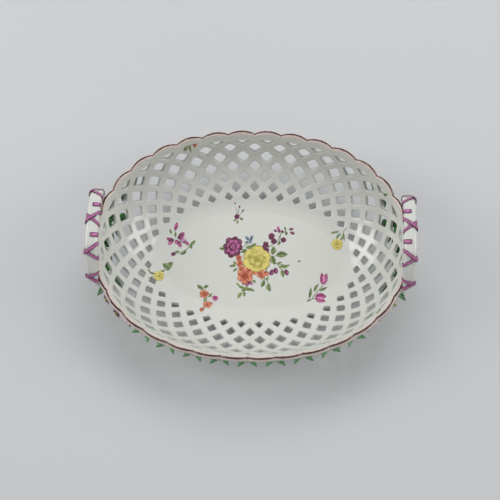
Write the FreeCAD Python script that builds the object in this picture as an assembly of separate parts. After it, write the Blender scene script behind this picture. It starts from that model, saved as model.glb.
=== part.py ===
import FreeCAD, Part
import math
import os

# Pierced oval porcelain basket with two ribbon-bound handles and applied flowers.
# Millimetres, Z up. The origin is the middle of the foot ring, on the table.

Vec = FreeCAD.Vector

# Bowl: half lengths of the oval, measured on the inner face
floor_half_length = 80.0
floor_half_width = 46.0
wall_half_length = 131.4
wall_half_width = 99.2
wall_top_z = 56.6
wall_thickness = 4.0
floor_thickness = 4.2
oval_power = 2.17

# Outward run and rise of the wall at each stage of its section, as shares
section_stage = (0.0, 0.5, 1.0, 2.0, 3.0, 4.0, 5.0, 6.0, 7.0, 7.4)
end_run_share = (0.0, 0.15, 0.266, 0.393, 0.529, 0.665, 0.79, 0.899, 0.975, 1.0)
side_run_share = (0.0, 0.155, 0.263, 0.423, 0.573, 0.714, 0.831, 0.913, 0.972, 1.0)
rise_share = (0.0, 0.028, 0.086, 0.148, 0.24, 0.369, 0.549, 0.768, 0.944, 1.0)

# Lattice: rows of diamond holes, staggered, with a row of half holes under the rim
holes_around = 32
full_rows = 6
strap_width = 5.6
half_hole_top_stage = 7.08
plain_lobe = -2.5
cut_overrun = 2.0

# Rim: a rounded lip in shallow lobes, one over each upper hole
lip_length = 3.6
lobe_rise = 3.6
rim_bead = 0.35
lobe_sharpness = 0.8

# Foot ring
foot_half_length = 83.0
foot_half_width = 50.0
foot_width = 5.0
foot_height = 5.7

# Fine gaps left between luted pieces, for the glaze
joint_gap = 0.3
foot_gap = 0.1
floor_z = foot_height + foot_gap + floor_thickness

# Handles: fluted bands that arch over the rim at both ends
handle_width = 11.0
handle_end_width = 8.5
handle_thickness = 6.0
handle_rise = 22.0
handle_half_span = 34.0
handle_outset = -0.4
handle_lean = 4.0
handle_foot_stage = 6.0
flute_depth = 0.55
flutes = 3

# Ribbon that binds the handles
ribbon_width = 2.6
ribbon_height = 0.8
bar_length = 6.5
bar_width = 3.6

# Applied flowers, leaves, buds and stems
floret_radius = 4.2
floret_height = 2.6
floret_stage = 7.02
notches_without_floret = (6, 7, 8, 9, 10, 11, 21, 22, 23, 24, 25, 26)
rim_leaf_heading = 118
rim_leaf_start_share = 0.85
rim_leaf_length = 7.0
rim_leaf_width = 3.4
leaf_thickness = 1.5
blossom_radius = 5.0
blossom_height = 3.6
leaf_length = 17.0
leaf_width = 8.5
small_leaf_length = 11.0
small_leaf_width = 5.6
stem_radius = 1.1
bud_radius = 2.0
bud_height = 3.2

# Course of the handle, as shares of its half span, its rise and its length
shoulder_span_share = 1.04
shoulder_rise_share = 0.3
crown_span_share = 0.5
crown_rise_share = 0.93
twist_share = 0.27
foot_thinning_share = 0.5
band_squareness = 0.62
band_poles = 48
band_rows = 44

# Ribbon: stations from the front foot of the handle, as shares of its length, where the two loops of each pair
# cross, as shares of the half width, and their slants in degrees
crossing_station_share = (0.178, 0.345, 0.55, 0.757)
crossing_offset_share = (0.8, 0.7, 0.3, 0.75)
crossing_slant_degrees = (20, 34, 38, 34)
bar_station_share = (0.442, 0.64)
bar_edge_share = 0.97
crossing_room_share = 1.25

# Flower section from its back to its heart, as shares of radius and height, with the depth of the petal notches
flower_section_share = (
    (0.35, 0.0, 0.0),
    (0.6, 0.12, 0.1),
    (1.0, 0.42, 0.3),
    (1.02, 0.62, 0.32),
    (0.7, 0.62, 0.12),
    (0.36, 0.42, 0.0),
    (0.26, 0.75, 0.0),
    (0.22, 1.0, 0.0),
    (0.1, 1.04, 0.0),
)

# Leaf and bud sections, as shares of their half width and thickness
leaf_tip_share = 0.12
leaf_section_share = (
    (-1.0, 0.0),
    (0.0, 0.0),
    (1.0, 0.0),
    (1.05, 0.5),
    (0.5, 1.0),
    (0.0, 0.7),
    (-0.5, 1.0),
    (-1.05, 0.5),
)
bud_seat_share = 0.95
bud_section_share = ((-0.5, 0.25), (-0.4, 0.8), (0.0, 1.15), (0.4, 0.8), (0.75, 0.3), (0.8, 0.12))

# Sprays: a stem runs from each handle foot along the rim, and another under the handle
spray_length = 60.0
spray_stage = 6.1
spray_start = 9.0
end_spray_length = 18.0
end_spray_drop = 4.0
end_spray_stage = 5.35
leaf_offset = 2.2
rim_leaf_curl_share = 0.35
small_leaf_curl_share = 0.35
leaf_curl_share = 0.08
bud_offset = 5.4
blossom_offset = 8.4

# Places along the sprays, as shares of their length, with the heading of each leaf in degrees from straight up
front_left_leaf_share = (
    (-0.04, 20, 0.9),
    (0.24, 128, 0.8),
    (0.46, 60, 1.0),
    (0.5, 128, 1.0),
    (0.72, 125, 0.9),
    (0.86, 98, 1.0),
)
front_left_blossom_share = (0.12, 0.355)
front_right_leaf_share = (
    (-0.04, 10, 0.8),
    (0.22, 128, 0.8),
    (0.46, 128, 1.0),
    (0.68, 125, 0.8),
    (0.86, 98, 1.0),
)
front_right_bud_share = (0.215, 0.28, 0.37, 0.49, 0.59)
front_right_blossom_share = (0.09,)
front_stem_share = 0.82
back_leaf_share = ((0.02, 55, 0.8), (0.06, 150, 1.45), (0.3, 122, 1.3), (0.56, 150, 1.1), (0.62, 98, 1.3))
back_blossom_share = (0.2,)
back_stem_share = 0.58
end_leaf_share = ((0.1, 178, 0.85), (0.2, -32, 0.85), (0.45, -145, 0.8), (0.75, -15, 0.9), (1.05, -52, 0.9))

# Fineness of the curved surfaces
poles_per_lobe = 4
section_steps = 15
curve_samples = 1200


def blend(table, stage):
    # Smooth value of a table at a stage of the wall section
    last = len(section_stage) - 1
    index = 0
    while index < last - 1 and stage > section_stage[index + 1]:
        index += 1
    span = section_stage[index + 1] - section_stage[index]
    t = (stage - section_stage[index]) / span

    def slope(i):
        low = max(i - 1, 0)
        high = min(i + 1, last)
        return (table[high] - table[low]) / (section_stage[high] - section_stage[low])

    start = table[index]
    end = table[index + 1]
    rise = end - start
    a = slope(index) * span
    b = slope(index + 1) * span
    return start + t * (a + t * (3 * rise - 2 * a - b + t * (a + b - 2 * rise)))


def section(stage):
    # Half length, half width and height of the inner face at a stage
    half_length = floor_half_length + (wall_half_length - floor_half_length) * blend(end_run_share, stage)
    half_width = floor_half_width + (wall_half_width - floor_half_width) * blend(side_run_share, stage)
    height = floor_z + (wall_top_z - floor_z) * blend(rise_share, stage)
    return half_length, half_width, height


def quarter_table(half_length, half_width):
    # Points and running lengths of a quarter of the oval, from +Y to +X
    points = []
    lengths = [0.0]
    for i in range(curve_samples + 1):
        angle = math.pi / 2 * i / curve_samples
        x = half_length * math.sin(angle) ** (2 / oval_power)
        y = half_width * max(math.cos(angle), 0.0) ** (2 / oval_power)
        points.append((x, y))
    for first, second in zip(points, points[1:]):
        step = math.hypot(second[0] - first[0], second[1] - first[1])
        lengths.append(lengths[-1] + step)
    return points, lengths


known_tables = {}


def oval(half_length, half_width, turn):
    # Point and outward normal of the oval at a share of its way round, clockwise from +Y
    key = (round(half_length, 6), round(half_width, 6))
    if key not in known_tables:
        known_tables[key] = quarter_table(half_length, half_width)
    points, lengths = known_tables[key]
    turn = turn % 1.0
    quarter = int(turn * 4) % 4
    part = turn * 4 - quarter
    if quarter % 2:
        part = 1 - part
    goal = part * lengths[-1]
    low = 0
    high = len(lengths) - 1
    while high - low > 1:
        middle = (low + high) // 2
        if lengths[middle] <= goal:
            low = middle
        else:
            high = middle
    t = (goal - lengths[low]) / (lengths[high] - lengths[low])
    x = points[low][0] + t * (points[high][0] - points[low][0])
    y = points[low][1] + t * (points[high][1] - points[low][1])
    nx = (x / half_length) ** (oval_power - 1) / half_length
    ny = (y / half_width) ** (oval_power - 1) / half_width
    size = math.hypot(nx, ny)
    side_x = 1 if quarter < 2 else -1
    side_y = 1 if quarter in (0, 3) else -1
    return Vec(side_x * x, side_y * y, 0), Vec(side_x * nx / size, side_y * ny / size, 0)


stage_step = 0.02


def slope_at(stage):
    # Unit run and rise of the section at a stage
    low = max(stage - stage_step, section_stage[0])
    high = min(stage + stage_step, section_stage[-1])
    first = section(low)
    second = section(high)
    run = (second[0] - first[0] + second[1] - first[1]) / 2
    rise = second[2] - first[2]
    size = math.hypot(run, rise)
    return run / size, rise / size


def wall_frame(turn, stage):
    # Point on the inner face, with the directions round, up the slope and out of the wall
    half_length, half_width, height = section(stage)
    point, normal = oval(half_length, half_width, turn)
    run, rise = slope_at(stage)
    up = normal * run + Vec(0, 0, rise)
    out = normal * rise - Vec(0, 0, run)
    round_way = Vec(normal.y, -normal.x, 0)
    return point + Vec(0, 0, height), round_way, up, out


def wall_point(turn, stage, depth):
    # Point at a depth outward from the inner face
    point, round_way, up, out = wall_frame(turn, stage)
    return point + out * depth


def clamped(count):
    # Knots and multiplicities of an open cubic with evenly spread knots
    knots = [i / (count - 3) for i in range(count - 2)]
    mults = [4] + [1] * (count - 4) + [4]
    return knots, mults


def round_knots(count):
    # Knots and multiplicities of a closed cubic
    return [i / count for i in range(count + 1)], [1] * (count + 1)


def ring_surface(rows):
    # Cubic surface through rings of poles, closed round each ring
    count = len(rows[0])
    u_knots, u_mults = round_knots(count)
    v_knots, v_mults = clamped(len(rows))
    poles = [[row[i - 1] for row in rows] for i in range(count)]
    surface = Part.BSplineSurface()
    surface.buildFromPolesMultsKnots(poles, u_mults, v_mults, u_knots, v_knots, True, False, 3, 3)
    return surface


def ring_solid(rows):
    # Closed solid from rings of poles, with flat ends
    surface = ring_surface(rows)
    side = surface.toShape()
    faces = [side]
    for v in (0.0, 1.0):
        rim_curve = surface.vIso(v).toShape()
        faces.append(Part.Face(Part.Wire([rim_curve])))
    shell = Part.Shell(faces)
    shell.sewShape()
    solid = Part.Solid(Part.Shell(shell.Faces))
    if solid.Volume < 0:
        solid.reverse()
    return solid


def lobe(turn):
    # Height share of the rim lobes: 0 at a notch, 1 at the top of a lobe
    return abs(math.sin(math.pi * holes_around * turn)) ** lobe_sharpness


def rim_point(turn, angle):
    # Point of the rounded lip, from the inner face over the crest to the outer face
    base, round_way, up, out = wall_frame(turn, section_stage[-1])
    middle = base + out * (wall_thickness / 2)
    half = wall_thickness / 2 + rim_bead * math.sin(angle)
    reach = lip_length + lobe_rise * lobe(turn)
    return middle + up * (reach * math.sin(angle) ** 0.75) - out * (half * math.cos(angle))


def wall_rows(depth, count):
    # Rings of poles up the wall at a depth from the inner face
    stages = [section_stage[-1] * i / section_steps for i in range(section_steps + 1)]
    return [[wall_point(i / count, stage, depth) for i in range(count)] for stage in stages]


def bowl_surfaces():
    count = holes_around * poles_per_lobe
    inner_rows = wall_rows(0.0, count)
    outer_rows = wall_rows(wall_thickness, count)
    outer_rows[0] = [
        Vec(p.x, p.y, floor_z - floor_thickness) for p in outer_rows[0]
    ]
    rim_rows = [inner_rows[-1]]
    steps = 8
    for k in range(steps + 1):
        angle = math.pi * (k + 0.5) / (steps + 1)
        rim_rows.append([rim_point(i / count, angle) for i in range(count)])
    rim_rows.append(outer_rows[-1])
    return ring_surface(inner_rows), ring_surface(rim_rows), ring_surface(outer_rows)


def quarter_shell(surfaces):
    # Faces of a quarter of the bowl, from +Y to +X, closed on the two middle planes
    faces = []
    edges = {"start": [], "end": []}
    for surface in surfaces:
        piece = surface.copy()
        piece.segment(0.0, 0.25, 0.0, 1.0)
        faces.append(piece.toShape())
        edges["start"].append(piece.uIso(0.0).toShape())
        edges["end"].append(piece.uIso(0.25).toShape())
    inner, rim, outer = surfaces
    for surface, height in ((inner, floor_z), (outer, floor_z - floor_thickness)):
        piece = surface.copy()
        piece.segment(0.0, 0.25, 0.0, 1.0)
        curve = piece.vIso(0.0).toShape()
        ends = [vertex.Point for vertex in curve.Vertexes]
        centre = Vec(0, 0, height)
        wire = Part.Wire([curve, Part.makeLine(ends[-1], centre), Part.makeLine(centre, ends[0])])
        faces.append(Part.Face(wire))
    for name, turn in (("start", 0.0), ("end", 0.25)):
        low = Vec(0, 0, floor_z - floor_thickness)
        high = Vec(0, 0, floor_z)
        inner_start = inner.value(turn, 0.0)
        outer_start = outer.value(turn, 0.0)
        lines = [
            Part.makeLine(low, high),
            Part.makeLine(high, inner_start),
            Part.makeLine(low, outer_start),
        ]
        wire = Part.Wire(Part.__sortEdges__(edges[name] + lines))
        faces.append(Part.Face(wire))
    shell = Part.Shell(faces)
    shell.sewShape()
    solid = Part.Solid(Part.Shell(shell.Faces))
    if solid.Volume < 0:
        solid.reverse()
    return solid


def row_pitch(low_stage, high_stage):
    # Length of wall section for one row, between two stages
    low = section(low_stage)
    high = section(high_stage)
    run = (high[0] - low[0] + high[1] - low[1]) / 2
    return math.hypot(run, high[2] - low[2]) / (high_stage - low_stage)


def hole_tool(turn, stage, top_stage):
    # Prism that cuts one hole, square to the wall. The lowest row is sized by the row above it, and its
    # lower corners are drawn in, since the rows lie further apart where the wall turns into the floor
    centre, round_way, up, out = wall_frame(turn, stage)
    half_length, half_width, height = section(stage)
    points, lengths = quarter_table(half_length, half_width)
    half_pitch = 4 * lengths[-1] / holes_around / 2
    lowest = stage < 2
    pitch = row_pitch(stage if lowest else stage - 1, min(stage + 1, section_stage[-1]))
    across = 2 * half_pitch * pitch / math.hypot(half_pitch, pitch)
    share = 1 - strap_width / across
    drop = share * pitch / row_pitch(section_stage[0], stage) if lowest else share
    half_turn = share / holes_around / 2
    corners = [
        wall_point(turn, stage - drop, 0.0),
        wall_point(turn + half_turn, stage, 0.0),
        wall_point(turn, stage + share, 0.0),
        wall_point(turn - half_turn, stage, 0.0),
    ]
    if top_stage:
        left = share - (top_stage - stage)
        inset = half_turn * left / share
        corners = [
            corners[0],
            wall_point(turn + half_turn, stage, 0.0),
            wall_point(turn + inset, top_stage, 0.0),
            wall_point(turn - inset, top_stage, 0.0),
            wall_point(turn - half_turn, stage, 0.0),
        ]
    flat = [p - out * ((p - centre).dot(out) + cut_overrun) for p in corners]
    outline = Part.makePolygon(flat + [flat[0]])
    return Part.Face(outline).extrude(out * (wall_thickness + 2 * cut_overrun))


def hole_tools(skip_plain):
    # All the hole prisms of the quarter from +Y to +X
    tools = []
    for row in range(1, full_rows + 2):
        shift = 0.5 if row % 2 else 0.0
        for i in range(holes_around // 4 + 1):
            turn = (i + shift) / holes_around
            if turn > 0.25 + 0.001:
                continue
            if row > full_rows:
                if skip_plain and abs(i + shift + plain_lobe) < 0.1:
                    continue
                tools.append(hole_tool(turn, float(row), half_hole_top_stage))
            else:
                tools.append(hole_tool(turn, float(row), None))
    return tools


def on_middle_plane(face):
    box = face.BoundBox
    thin = 0.001
    return (abs(box.XMin) < thin and abs(box.XMax) < thin) or (abs(box.YMin) < thin and abs(box.YMax) < thin)


def basket_body():
    blank = quarter_shell(bowl_surfaces())
    pierced = blank.cut(hole_tools(False))
    with_plain = blank.cut(hole_tools(True))
    faces = []
    centre = Vec(0, 0, 0)
    for shape, flips in ((pierced, ()), (pierced, ("y",)), (pierced, ("x", "y")), (with_plain, ("x",))):
        piece = shape
        for flip in flips:
            normal = Vec(1, 0, 0) if flip == "x" else Vec(0, 1, 0)
            piece = piece.mirror(centre, normal)
        faces += [face for face in piece.Faces if not on_middle_plane(face)]
    shell = Part.Shell(faces)
    shell.sewShape()
    solid = Part.Solid(Part.Shell(shell.Faces))
    if solid.Volume < 0:
        solid.reverse()
    return solid.removeSplitter()


def foot_ring():
    # Plain oval ring under the floor
    count = holes_around * 2
    top = foot_height
    outlines = []
    for inset in (0.0, foot_width):
        points = [oval(foot_half_length - inset, foot_half_width - inset, i / count)[0] for i in range(count)]
        curve = Part.BSplineCurve()
        curve.interpolate(points, PeriodicFlag=True)
        outlines.append(Part.Face(Part.Wire([curve.toShape()])))
    ring = outlines[0].cut(outlines[1])
    return ring.extrude(Vec(0, 0, top))


def save(name, solids):
    shape = solids[0] if len(solids) == 1 else Part.makeCompound(solids)
    shape.exportStep("parts/" + name + ".step")


def turned_ring(rows):
    # Closed solid whose rows of poles also close on themselves
    count = len(rows[0])
    u_knots, u_mults = round_knots(count)
    v_knots, v_mults = round_knots(len(rows))
    poles = [[row[i] for row in rows] for i in range(count)]
    surface = Part.BSplineSurface()
    surface.buildFromPolesMultsKnots(poles, u_mults, v_mults, u_knots, v_knots, True, True, 3, 3)
    solid = Part.Solid(Part.Shell([surface.toShape()]))
    if solid.Volume < 0:
        solid.reverse()
    return solid


def turn_at_width(half_span):
    # Share of the way round, near +X, where the wall top lies at a distance from the middle
    low = 0.0
    high = 0.25
    for i in range(40):
        middle = (low + high) / 2
        if wall_point(middle, section_stage[-1], 0.0).y > half_span:
            low = middle
        else:
            high = middle
    return low


def handle_path():
    # Middle line of the handle on the +X side, from the front foot over the rim to the back foot
    back_turn = turn_at_width(handle_half_span)
    top = section(section_stage[-1])
    rim_z = top[2] + lip_length
    outset = joint_gap + handle_thickness * (1 - foot_thinning_share) / 2
    foot = wall_point(back_turn, handle_foot_stage, wall_thickness + outset)
    knee_stage = (handle_foot_stage + section_stage[-1]) / 2
    knee = wall_point(back_turn, knee_stage, wall_thickness + outset + rim_bead)
    crest, normal = oval(top[0], top[1], back_turn)
    reach = wall_thickness + lip_length + ribbon_height + joint_gap + outset
    beside = crest + normal * reach + Vec(0, 0, rim_z)
    middle_x = top[0] + lip_length + handle_outset
    lean = Vec(0, handle_lean, 0)
    shoulder = Vec(
        (beside.x + middle_x) / 2,
        handle_half_span * shoulder_span_share,
        rim_z + handle_rise * shoulder_rise_share,
    )
    crown = Vec(middle_x, 0, rim_z + handle_rise)
    upper = Vec(middle_x, handle_half_span * crown_span_share, rim_z + handle_rise * crown_rise_share)
    lower_half = [foot, knee, beside]
    front = [Vec(p.x, -p.y, p.z) for p in lower_half]
    arch = [Vec(p.x, -p.y, p.z) for p in (shoulder, upper)] + [crown, upper, shoulder]
    return front + [p + lean for p in arch] + lower_half[::-1]


class Band:
    # A fluted band along a path, with frames for what is bound round it

    def __init__(self, path):
        self.curve = Part.BSplineCurve()
        self.curve.interpolate(path)
        self.length = self.curve.length()

    def frame(self, share):
        parameter = self.curve.parameterAtDistance(self.length * share)
        middle = self.curve.value(parameter)
        along = self.curve.tangent(parameter)[0]
        foot_share = min(share, 1 - share) / twist_share
        ease = max(0.0, 1 - foot_share)
        ease = ease * ease * (3 - 2 * ease)
        normal = oval(wall_half_length, wall_half_width, turn_at_width(handle_half_span))[1]
        side = -1 if share < 0.5 else 1
        level = Vec(normal.y, -side * normal.x, 0)
        across = Vec(1, 0, 0) * (1 - ease) + level * ease
        across = across - along * across.dot(along)
        across.normalize()
        return middle, along, across, along.cross(across)

    def size(self, share):
        end = max(0.0, 1 - min(share, 1 - share) / twist_share)
        width = handle_width + (handle_end_width - handle_width) * end
        return width, handle_thickness * (1 - end * foot_thinning_share)

    def point(self, share, angle, lift):
        # Point round the band, lifted off its surface
        middle, along, across, inward = self.frame(share)
        width, thickness = self.size(share)
        x = math.copysign(abs(math.cos(angle)) ** band_squareness, math.cos(angle))
        y = math.copysign(abs(math.sin(angle)) ** band_squareness, math.sin(angle))
        groove = flute_depth * (1 - math.cos(math.pi * flutes * x)) / 2 * abs(y)
        depth = thickness / 2 + lift - (groove if lift <= 0 else 0.0)
        return middle + across * (x * (width / 2 + lift)) + inward * (y * depth)


def handle(band):
    rows = []
    for k in range(band_rows + 1):
        share = k / band_rows
        rows.append([band.point(share, 2 * math.pi * i / band_poles, 0.0) for i in range(band_poles)])
    return ring_solid(rows)


def ribbon_loop(band, station, offset, slant, over):
    # One slanting loop round the handle; the upper loop of a pair rises over the lower one
    rows = []
    base = joint_gap / 2
    for i in range(band_poles):
        angle = 2 * math.pi * i / band_poles
        x = math.copysign(abs(math.cos(angle)) ** band_squareness, math.cos(angle))
        shift = math.tan(math.radians(slant)) * handle_width / 2 * (x - offset)
        place = station + shift / band.length
        near = ribbon_width / math.sin(math.radians(abs(slant))) / handle_width * crossing_room_share
        lift = base
        if over:
            away = abs(x - offset) / near
            lift += (ribbon_height + joint_gap) * max(0.0, 1 - max(0.0, away - 1))
        half = ribbon_width / 2 / band.length / math.cos(math.radians(slant))
        low = lift
        high = lift + ribbon_height
        ring = [
            band.point(place - half, angle, low),
            band.point(place, angle, low),
            band.point(place + half, angle, low),
            band.point(place + half, angle, high),
            band.point(place, angle, high),
            band.point(place - half, angle, high),
        ]
        rows.append(ring)
    return turned_ring(rows)


def ribbon_bar(band, station):
    # Short flat bar on the inner half of the top of the handle
    rows = []
    base = joint_gap / 2
    steps = 6
    for k in range(steps + 1):
        x = -1 + 2 * bar_length / handle_width * k / steps
        x = max(x, -bar_edge_share)
        angle = -math.acos(math.copysign(abs(x) ** (1 / band_squareness), x))
        half = bar_width / 2 / band.length
        rows.append([
            band.point(station - half, angle, base),
            band.point(station + half, angle, base),
            band.point(station + half, angle, base + ribbon_height),
            band.point(station - half, angle, base + ribbon_height),
        ])
    return ring_solid_flat(rows)


def ring_solid_flat(rows):
    # Solid from four-point rings, with straight sides and flat ends
    faces = []
    for first, second in zip(rows, rows[1:]):
        for i in range(len(first)):
            j = (i + 1) % len(first)
            a = Part.makeLine(first[i], first[j])
            b = Part.makeLine(second[i], second[j])
            faces.append(Part.makeRuledSurface(a, b))
    for row in (rows[0], rows[-1]):
        half = len(row) // 2
        a = Part.makeLine(row[0], row[1])
        b = Part.makeLine(row[3], row[2])
        faces.append(Part.makeRuledSurface(a, b))
    shell = Part.Shell(faces)
    shell.sewShape()
    solid = Part.Solid(Part.Shell(shell.Faces))
    if solid.Volume < 0:
        solid.reverse()
    return solid


def ribbon(band):
    solids = []
    for station, offset, slant in zip(crossing_station_share, crossing_offset_share, crossing_slant_degrees):
        solids.append(ribbon_loop(band, station, offset, slant, False))
        solids.append(ribbon_loop(band, station, offset, -slant, True))
    for station in bar_station_share:
        solids.append(ribbon_bar(band, station))
    return solids


def flower(turn, stage, radius, height, spin):
    # Five-petalled flower with a raised heart, standing on the outside of the wall
    base, round_way, up, out = wall_frame(turn, stage)
    base = base + out * (wall_thickness + joint_gap)
    petals = 5
    count = petals * 4
    rows = []
    for reach, rise, wave in flower_section_share:
        ring = []
        for i in range(count):
            angle = 2 * math.pi * i / count
            petal = 1 - wave * (0.5 + 0.5 * math.cos(petals * angle))
            x = radius * reach * petal * math.cos(angle + spin)
            y = radius * reach * petal * math.sin(angle + spin)
            ring.append(base + round_way * x + up * y + out * (height * rise))
        rows.append(ring)
    return ring_solid(rows)


def round_length(stage):
    # Way round the outer wall at a stage
    half_length, half_width, height = section(stage)
    points, lengths = quarter_table(half_length + wall_thickness, half_width + wall_thickness)
    return 4 * lengths[-1]


def stage_length(stage):
    # Length of wall section for one stage
    low = section(stage - stage_step)
    high = section(stage + stage_step)
    run = (high[0] - low[0] + high[1] - low[1]) / 2
    return math.hypot(run, high[2] - low[2]) / (2 * stage_step)


known_scales = {}


def wall_step(turn, stage, sideways, upward):
    # Place on the wall that lies a given way off, along it
    key = round(stage, 4)
    if key not in known_scales:
        known_scales[key] = (round_length(stage), stage_length(stage))
    around, rise = known_scales[key]
    return turn + sideways / around, stage + upward / rise


def leaf(turn, stage, heading, length, width, curl):
    # Pointed leaf with a flat back that follows the outside of the wall, and curls away from it towards its tip
    rows = []
    steps = 8
    dx = math.sin(heading)
    dy = math.cos(heading)
    for k in range(steps + 1):
        share = k / steps
        place_turn, place_stage = wall_step(turn, stage, dx * length * share, dy * length * share)
        base, round_way, up, out = wall_frame(place_turn, min(place_stage, section_stage[-1]))
        base = base + out * (wall_thickness + joint_gap + curl * share ** 2)
        across = round_way * dy - up * dx
        half = width / 2 * (leaf_tip_share + (1 - leaf_tip_share) * math.sin(math.pi * share ** 0.8) ** 0.9)
        thick = leaf_thickness * (0.45 + 0.55 * math.sin(math.pi * share))
        ring = []
        for x, y in leaf_section_share:
            ring.append(base + across * (half * x) + out * (thick * y))
        rows.append(ring)
    return ring_solid(rows)


def bud(turn, stage, heading, size, height):
    # Closed bud, a small drop lying on the wall
    base, round_way, up, out = wall_frame(turn, stage)
    base = base + out * (wall_thickness + joint_gap + size * bud_seat_share)
    axis = round_way * math.sin(heading) + up * math.cos(heading)
    side = axis.cross(out)
    rows = []
    for along, wide in bud_section_share:
        ring = []
        for i in range(8):
            angle = math.pi / 4 * i
            ring.append(base + axis * (height * along) + (side * math.cos(angle) + out * math.sin(angle)) * (size * wide))
        rows.append(ring)
    return ring_solid(rows)


def stem(places):
    # Rolled stem along a line of places on the outside of the wall
    rows = []
    points = []
    for turn, stage in places:
        base, round_way, up, out = wall_frame(turn, stage)
        points.append(base + out * (wall_thickness + joint_gap + stem_radius))
    curve = Part.BSplineCurve()
    curve.interpolate(points)
    length = curve.length()
    steps = 14
    for k in range(steps + 1):
        parameter = curve.parameterAtDistance(length * k / steps)
        middle = curve.value(parameter)
        along = curve.tangent(parameter)[0]
        side = along.cross(Vec(0, 0, 1))
        side.normalize()
        top = side.cross(along)
        ring = []
        for i in range(8):
            angle = math.pi / 4 * i
            ring.append(middle + (side * math.cos(angle) + top * math.sin(angle)) * stem_radius)
        rows.append(ring)
    return ring_solid(rows)


def mirrored(solids):
    return [solid.mirror(Vec(0, 0, 0), Vec(1, 0, 0)) for solid in solids]


def spray_place(foot_turn, away, share, lift):
    # Place at a share of the spray, with a lift above its stem
    return wall_step(foot_turn, spray_stage, away * (spray_start + spray_length * share), lift)


def rim_spray(foot_turn, away, leaf_shares, bud_shares, blossom_shares, stem_end):
    # Stem, leaves, buds and blossoms along the rim; away is 1 clockwise and -1 the other way
    steps = 8
    places = [spray_place(foot_turn, away, stem_end * k / steps, 0.0) for k in range(steps + 1)]
    stems = [stem(places)]
    leaves = []
    for share, heading, scale in leaf_shares:
        upward = 1 if heading < 90 else -1
        lift = upward * leaf_offset if share <= stem_end else 0.0
        turn, stage = spray_place(foot_turn, away, share, lift)
        angle = math.radians(heading) * away
        length = small_leaf_length * scale
        curl = length * small_leaf_curl_share
        leaves.append(leaf(turn, stage, angle, length, small_leaf_width * scale, curl))
    buds = []
    for share in bud_shares:
        turn, stage = spray_place(foot_turn, away, share, bud_offset)
        buds.append(bud(turn, stage, math.radians(20) * away, bud_radius, bud_height))
    blossoms = []
    for number, share in enumerate(blossom_shares):
        turn, stage = spray_place(foot_turn, away, share, blossom_offset)
        blossoms.append(flower(turn, stage, blossom_radius, blossom_height, 0.4 * number))
    return stems, leaves, buds, blossoms


def end_spray(foot_turn, away):
    # Stem and leaves that run under the handle from its foot, towards the middle of the end wall
    def place(share):
        sideways = -away * end_spray_length * share
        return wall_step(foot_turn, end_spray_stage, sideways, -end_spray_drop * share)

    steps = 8
    stems = [stem([place(k / steps) for k in range(steps + 1)])]
    leaves = []
    for share, heading, scale in end_leaf_share:
        turn, stage = place(min(share, 1.0))
        angle = math.radians(heading) * away
        start = leaf_offset if share < 1 else leaf_offset / 2
        turn, stage = wall_step(turn, stage, math.sin(angle) * start, math.cos(angle) * start)
        length = leaf_length * scale
        leaves.append(leaf(turn, stage, angle, length, leaf_width * scale, length * leaf_curl_share))
    return stems, leaves


def rim_florets():
    # A floret with two leaves outside every notch of the rim, clear of the handles and sprays
    florets = []
    leaves = []
    for i in range(holes_around):
        if i in notches_without_floret:
            continue
        turn = i / holes_around
        florets.append(flower(turn, floret_stage, floret_radius, floret_height, math.pi / 10))
        for side in (-1, 1):
            angle = side * math.radians(rim_leaf_heading)
            start = floret_radius * rim_leaf_start_share
            leaf_turn, stage = wall_step(turn, floret_stage, math.sin(angle) * start, math.cos(angle) * start)
            curl = rim_leaf_length * rim_leaf_curl_share
            leaves.append(leaf(leaf_turn, stage, angle, rim_leaf_length, rim_leaf_width, curl))
    return florets, leaves


def main():
    os.makedirs("parts", exist_ok=True)
    save("basket_body", [basket_body()])
    save("foot_ring", [foot_ring()])

    band = Band(handle_path())
    right_handle = [handle(band)]
    save("handle_right", right_handle)
    save("handle_left", mirrored(right_handle))
    right_ribbon = ribbon(band)
    save("ribbon_right", right_ribbon)
    save("ribbon_left", mirrored(right_ribbon))

    florets, floret_leaves = rim_florets()
    save("rim_florets", florets)
    save("rim_floret_leaves", floret_leaves)

    back_foot = turn_at_width(handle_half_span)
    front_foot = 0.5 - back_foot
    back = rim_spray(back_foot, -1, back_leaf_share, (), back_blossom_share, back_stem_share)
    buds = front_right_bud_share
    blossoms = front_right_blossom_share
    front_right = rim_spray(front_foot, 1, front_right_leaf_share, buds, blossoms, front_stem_share)
    front_left = rim_spray(front_foot, 1, front_left_leaf_share, (), front_left_blossom_share, front_stem_share)
    end_back = end_spray(back_foot, -1)
    end_front = end_spray(front_foot, 1)
    save("spray_stems_right", back[0] + front_right[0] + end_back[0] + end_front[0])
    save("spray_stems_left", mirrored(back[0] + front_left[0] + end_back[0] + end_front[0]))
    save("spray_leaves_right", back[1] + front_right[1] + end_back[1] + end_front[1])
    save("spray_leaves_left", mirrored(back[1] + front_left[1] + end_back[1] + end_front[1]))
    save("spray_buds_right", front_right[2])
    save("blossoms_right", back[3] + front_right[3])
    save("blossoms_left", mirrored(back[3] + front_left[3]))


main()
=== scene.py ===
"""Porcelain basket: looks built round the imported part, laid out as a Blender add-on."""

import functools
import math
import random

import bmesh
import bpy
import numpy as np
from bpy.props import FloatProperty, FloatVectorProperty, PointerProperty
from bpy.types import Operator, Panel, PropertyGroup
from mathutils import Matrix, Vector


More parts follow.
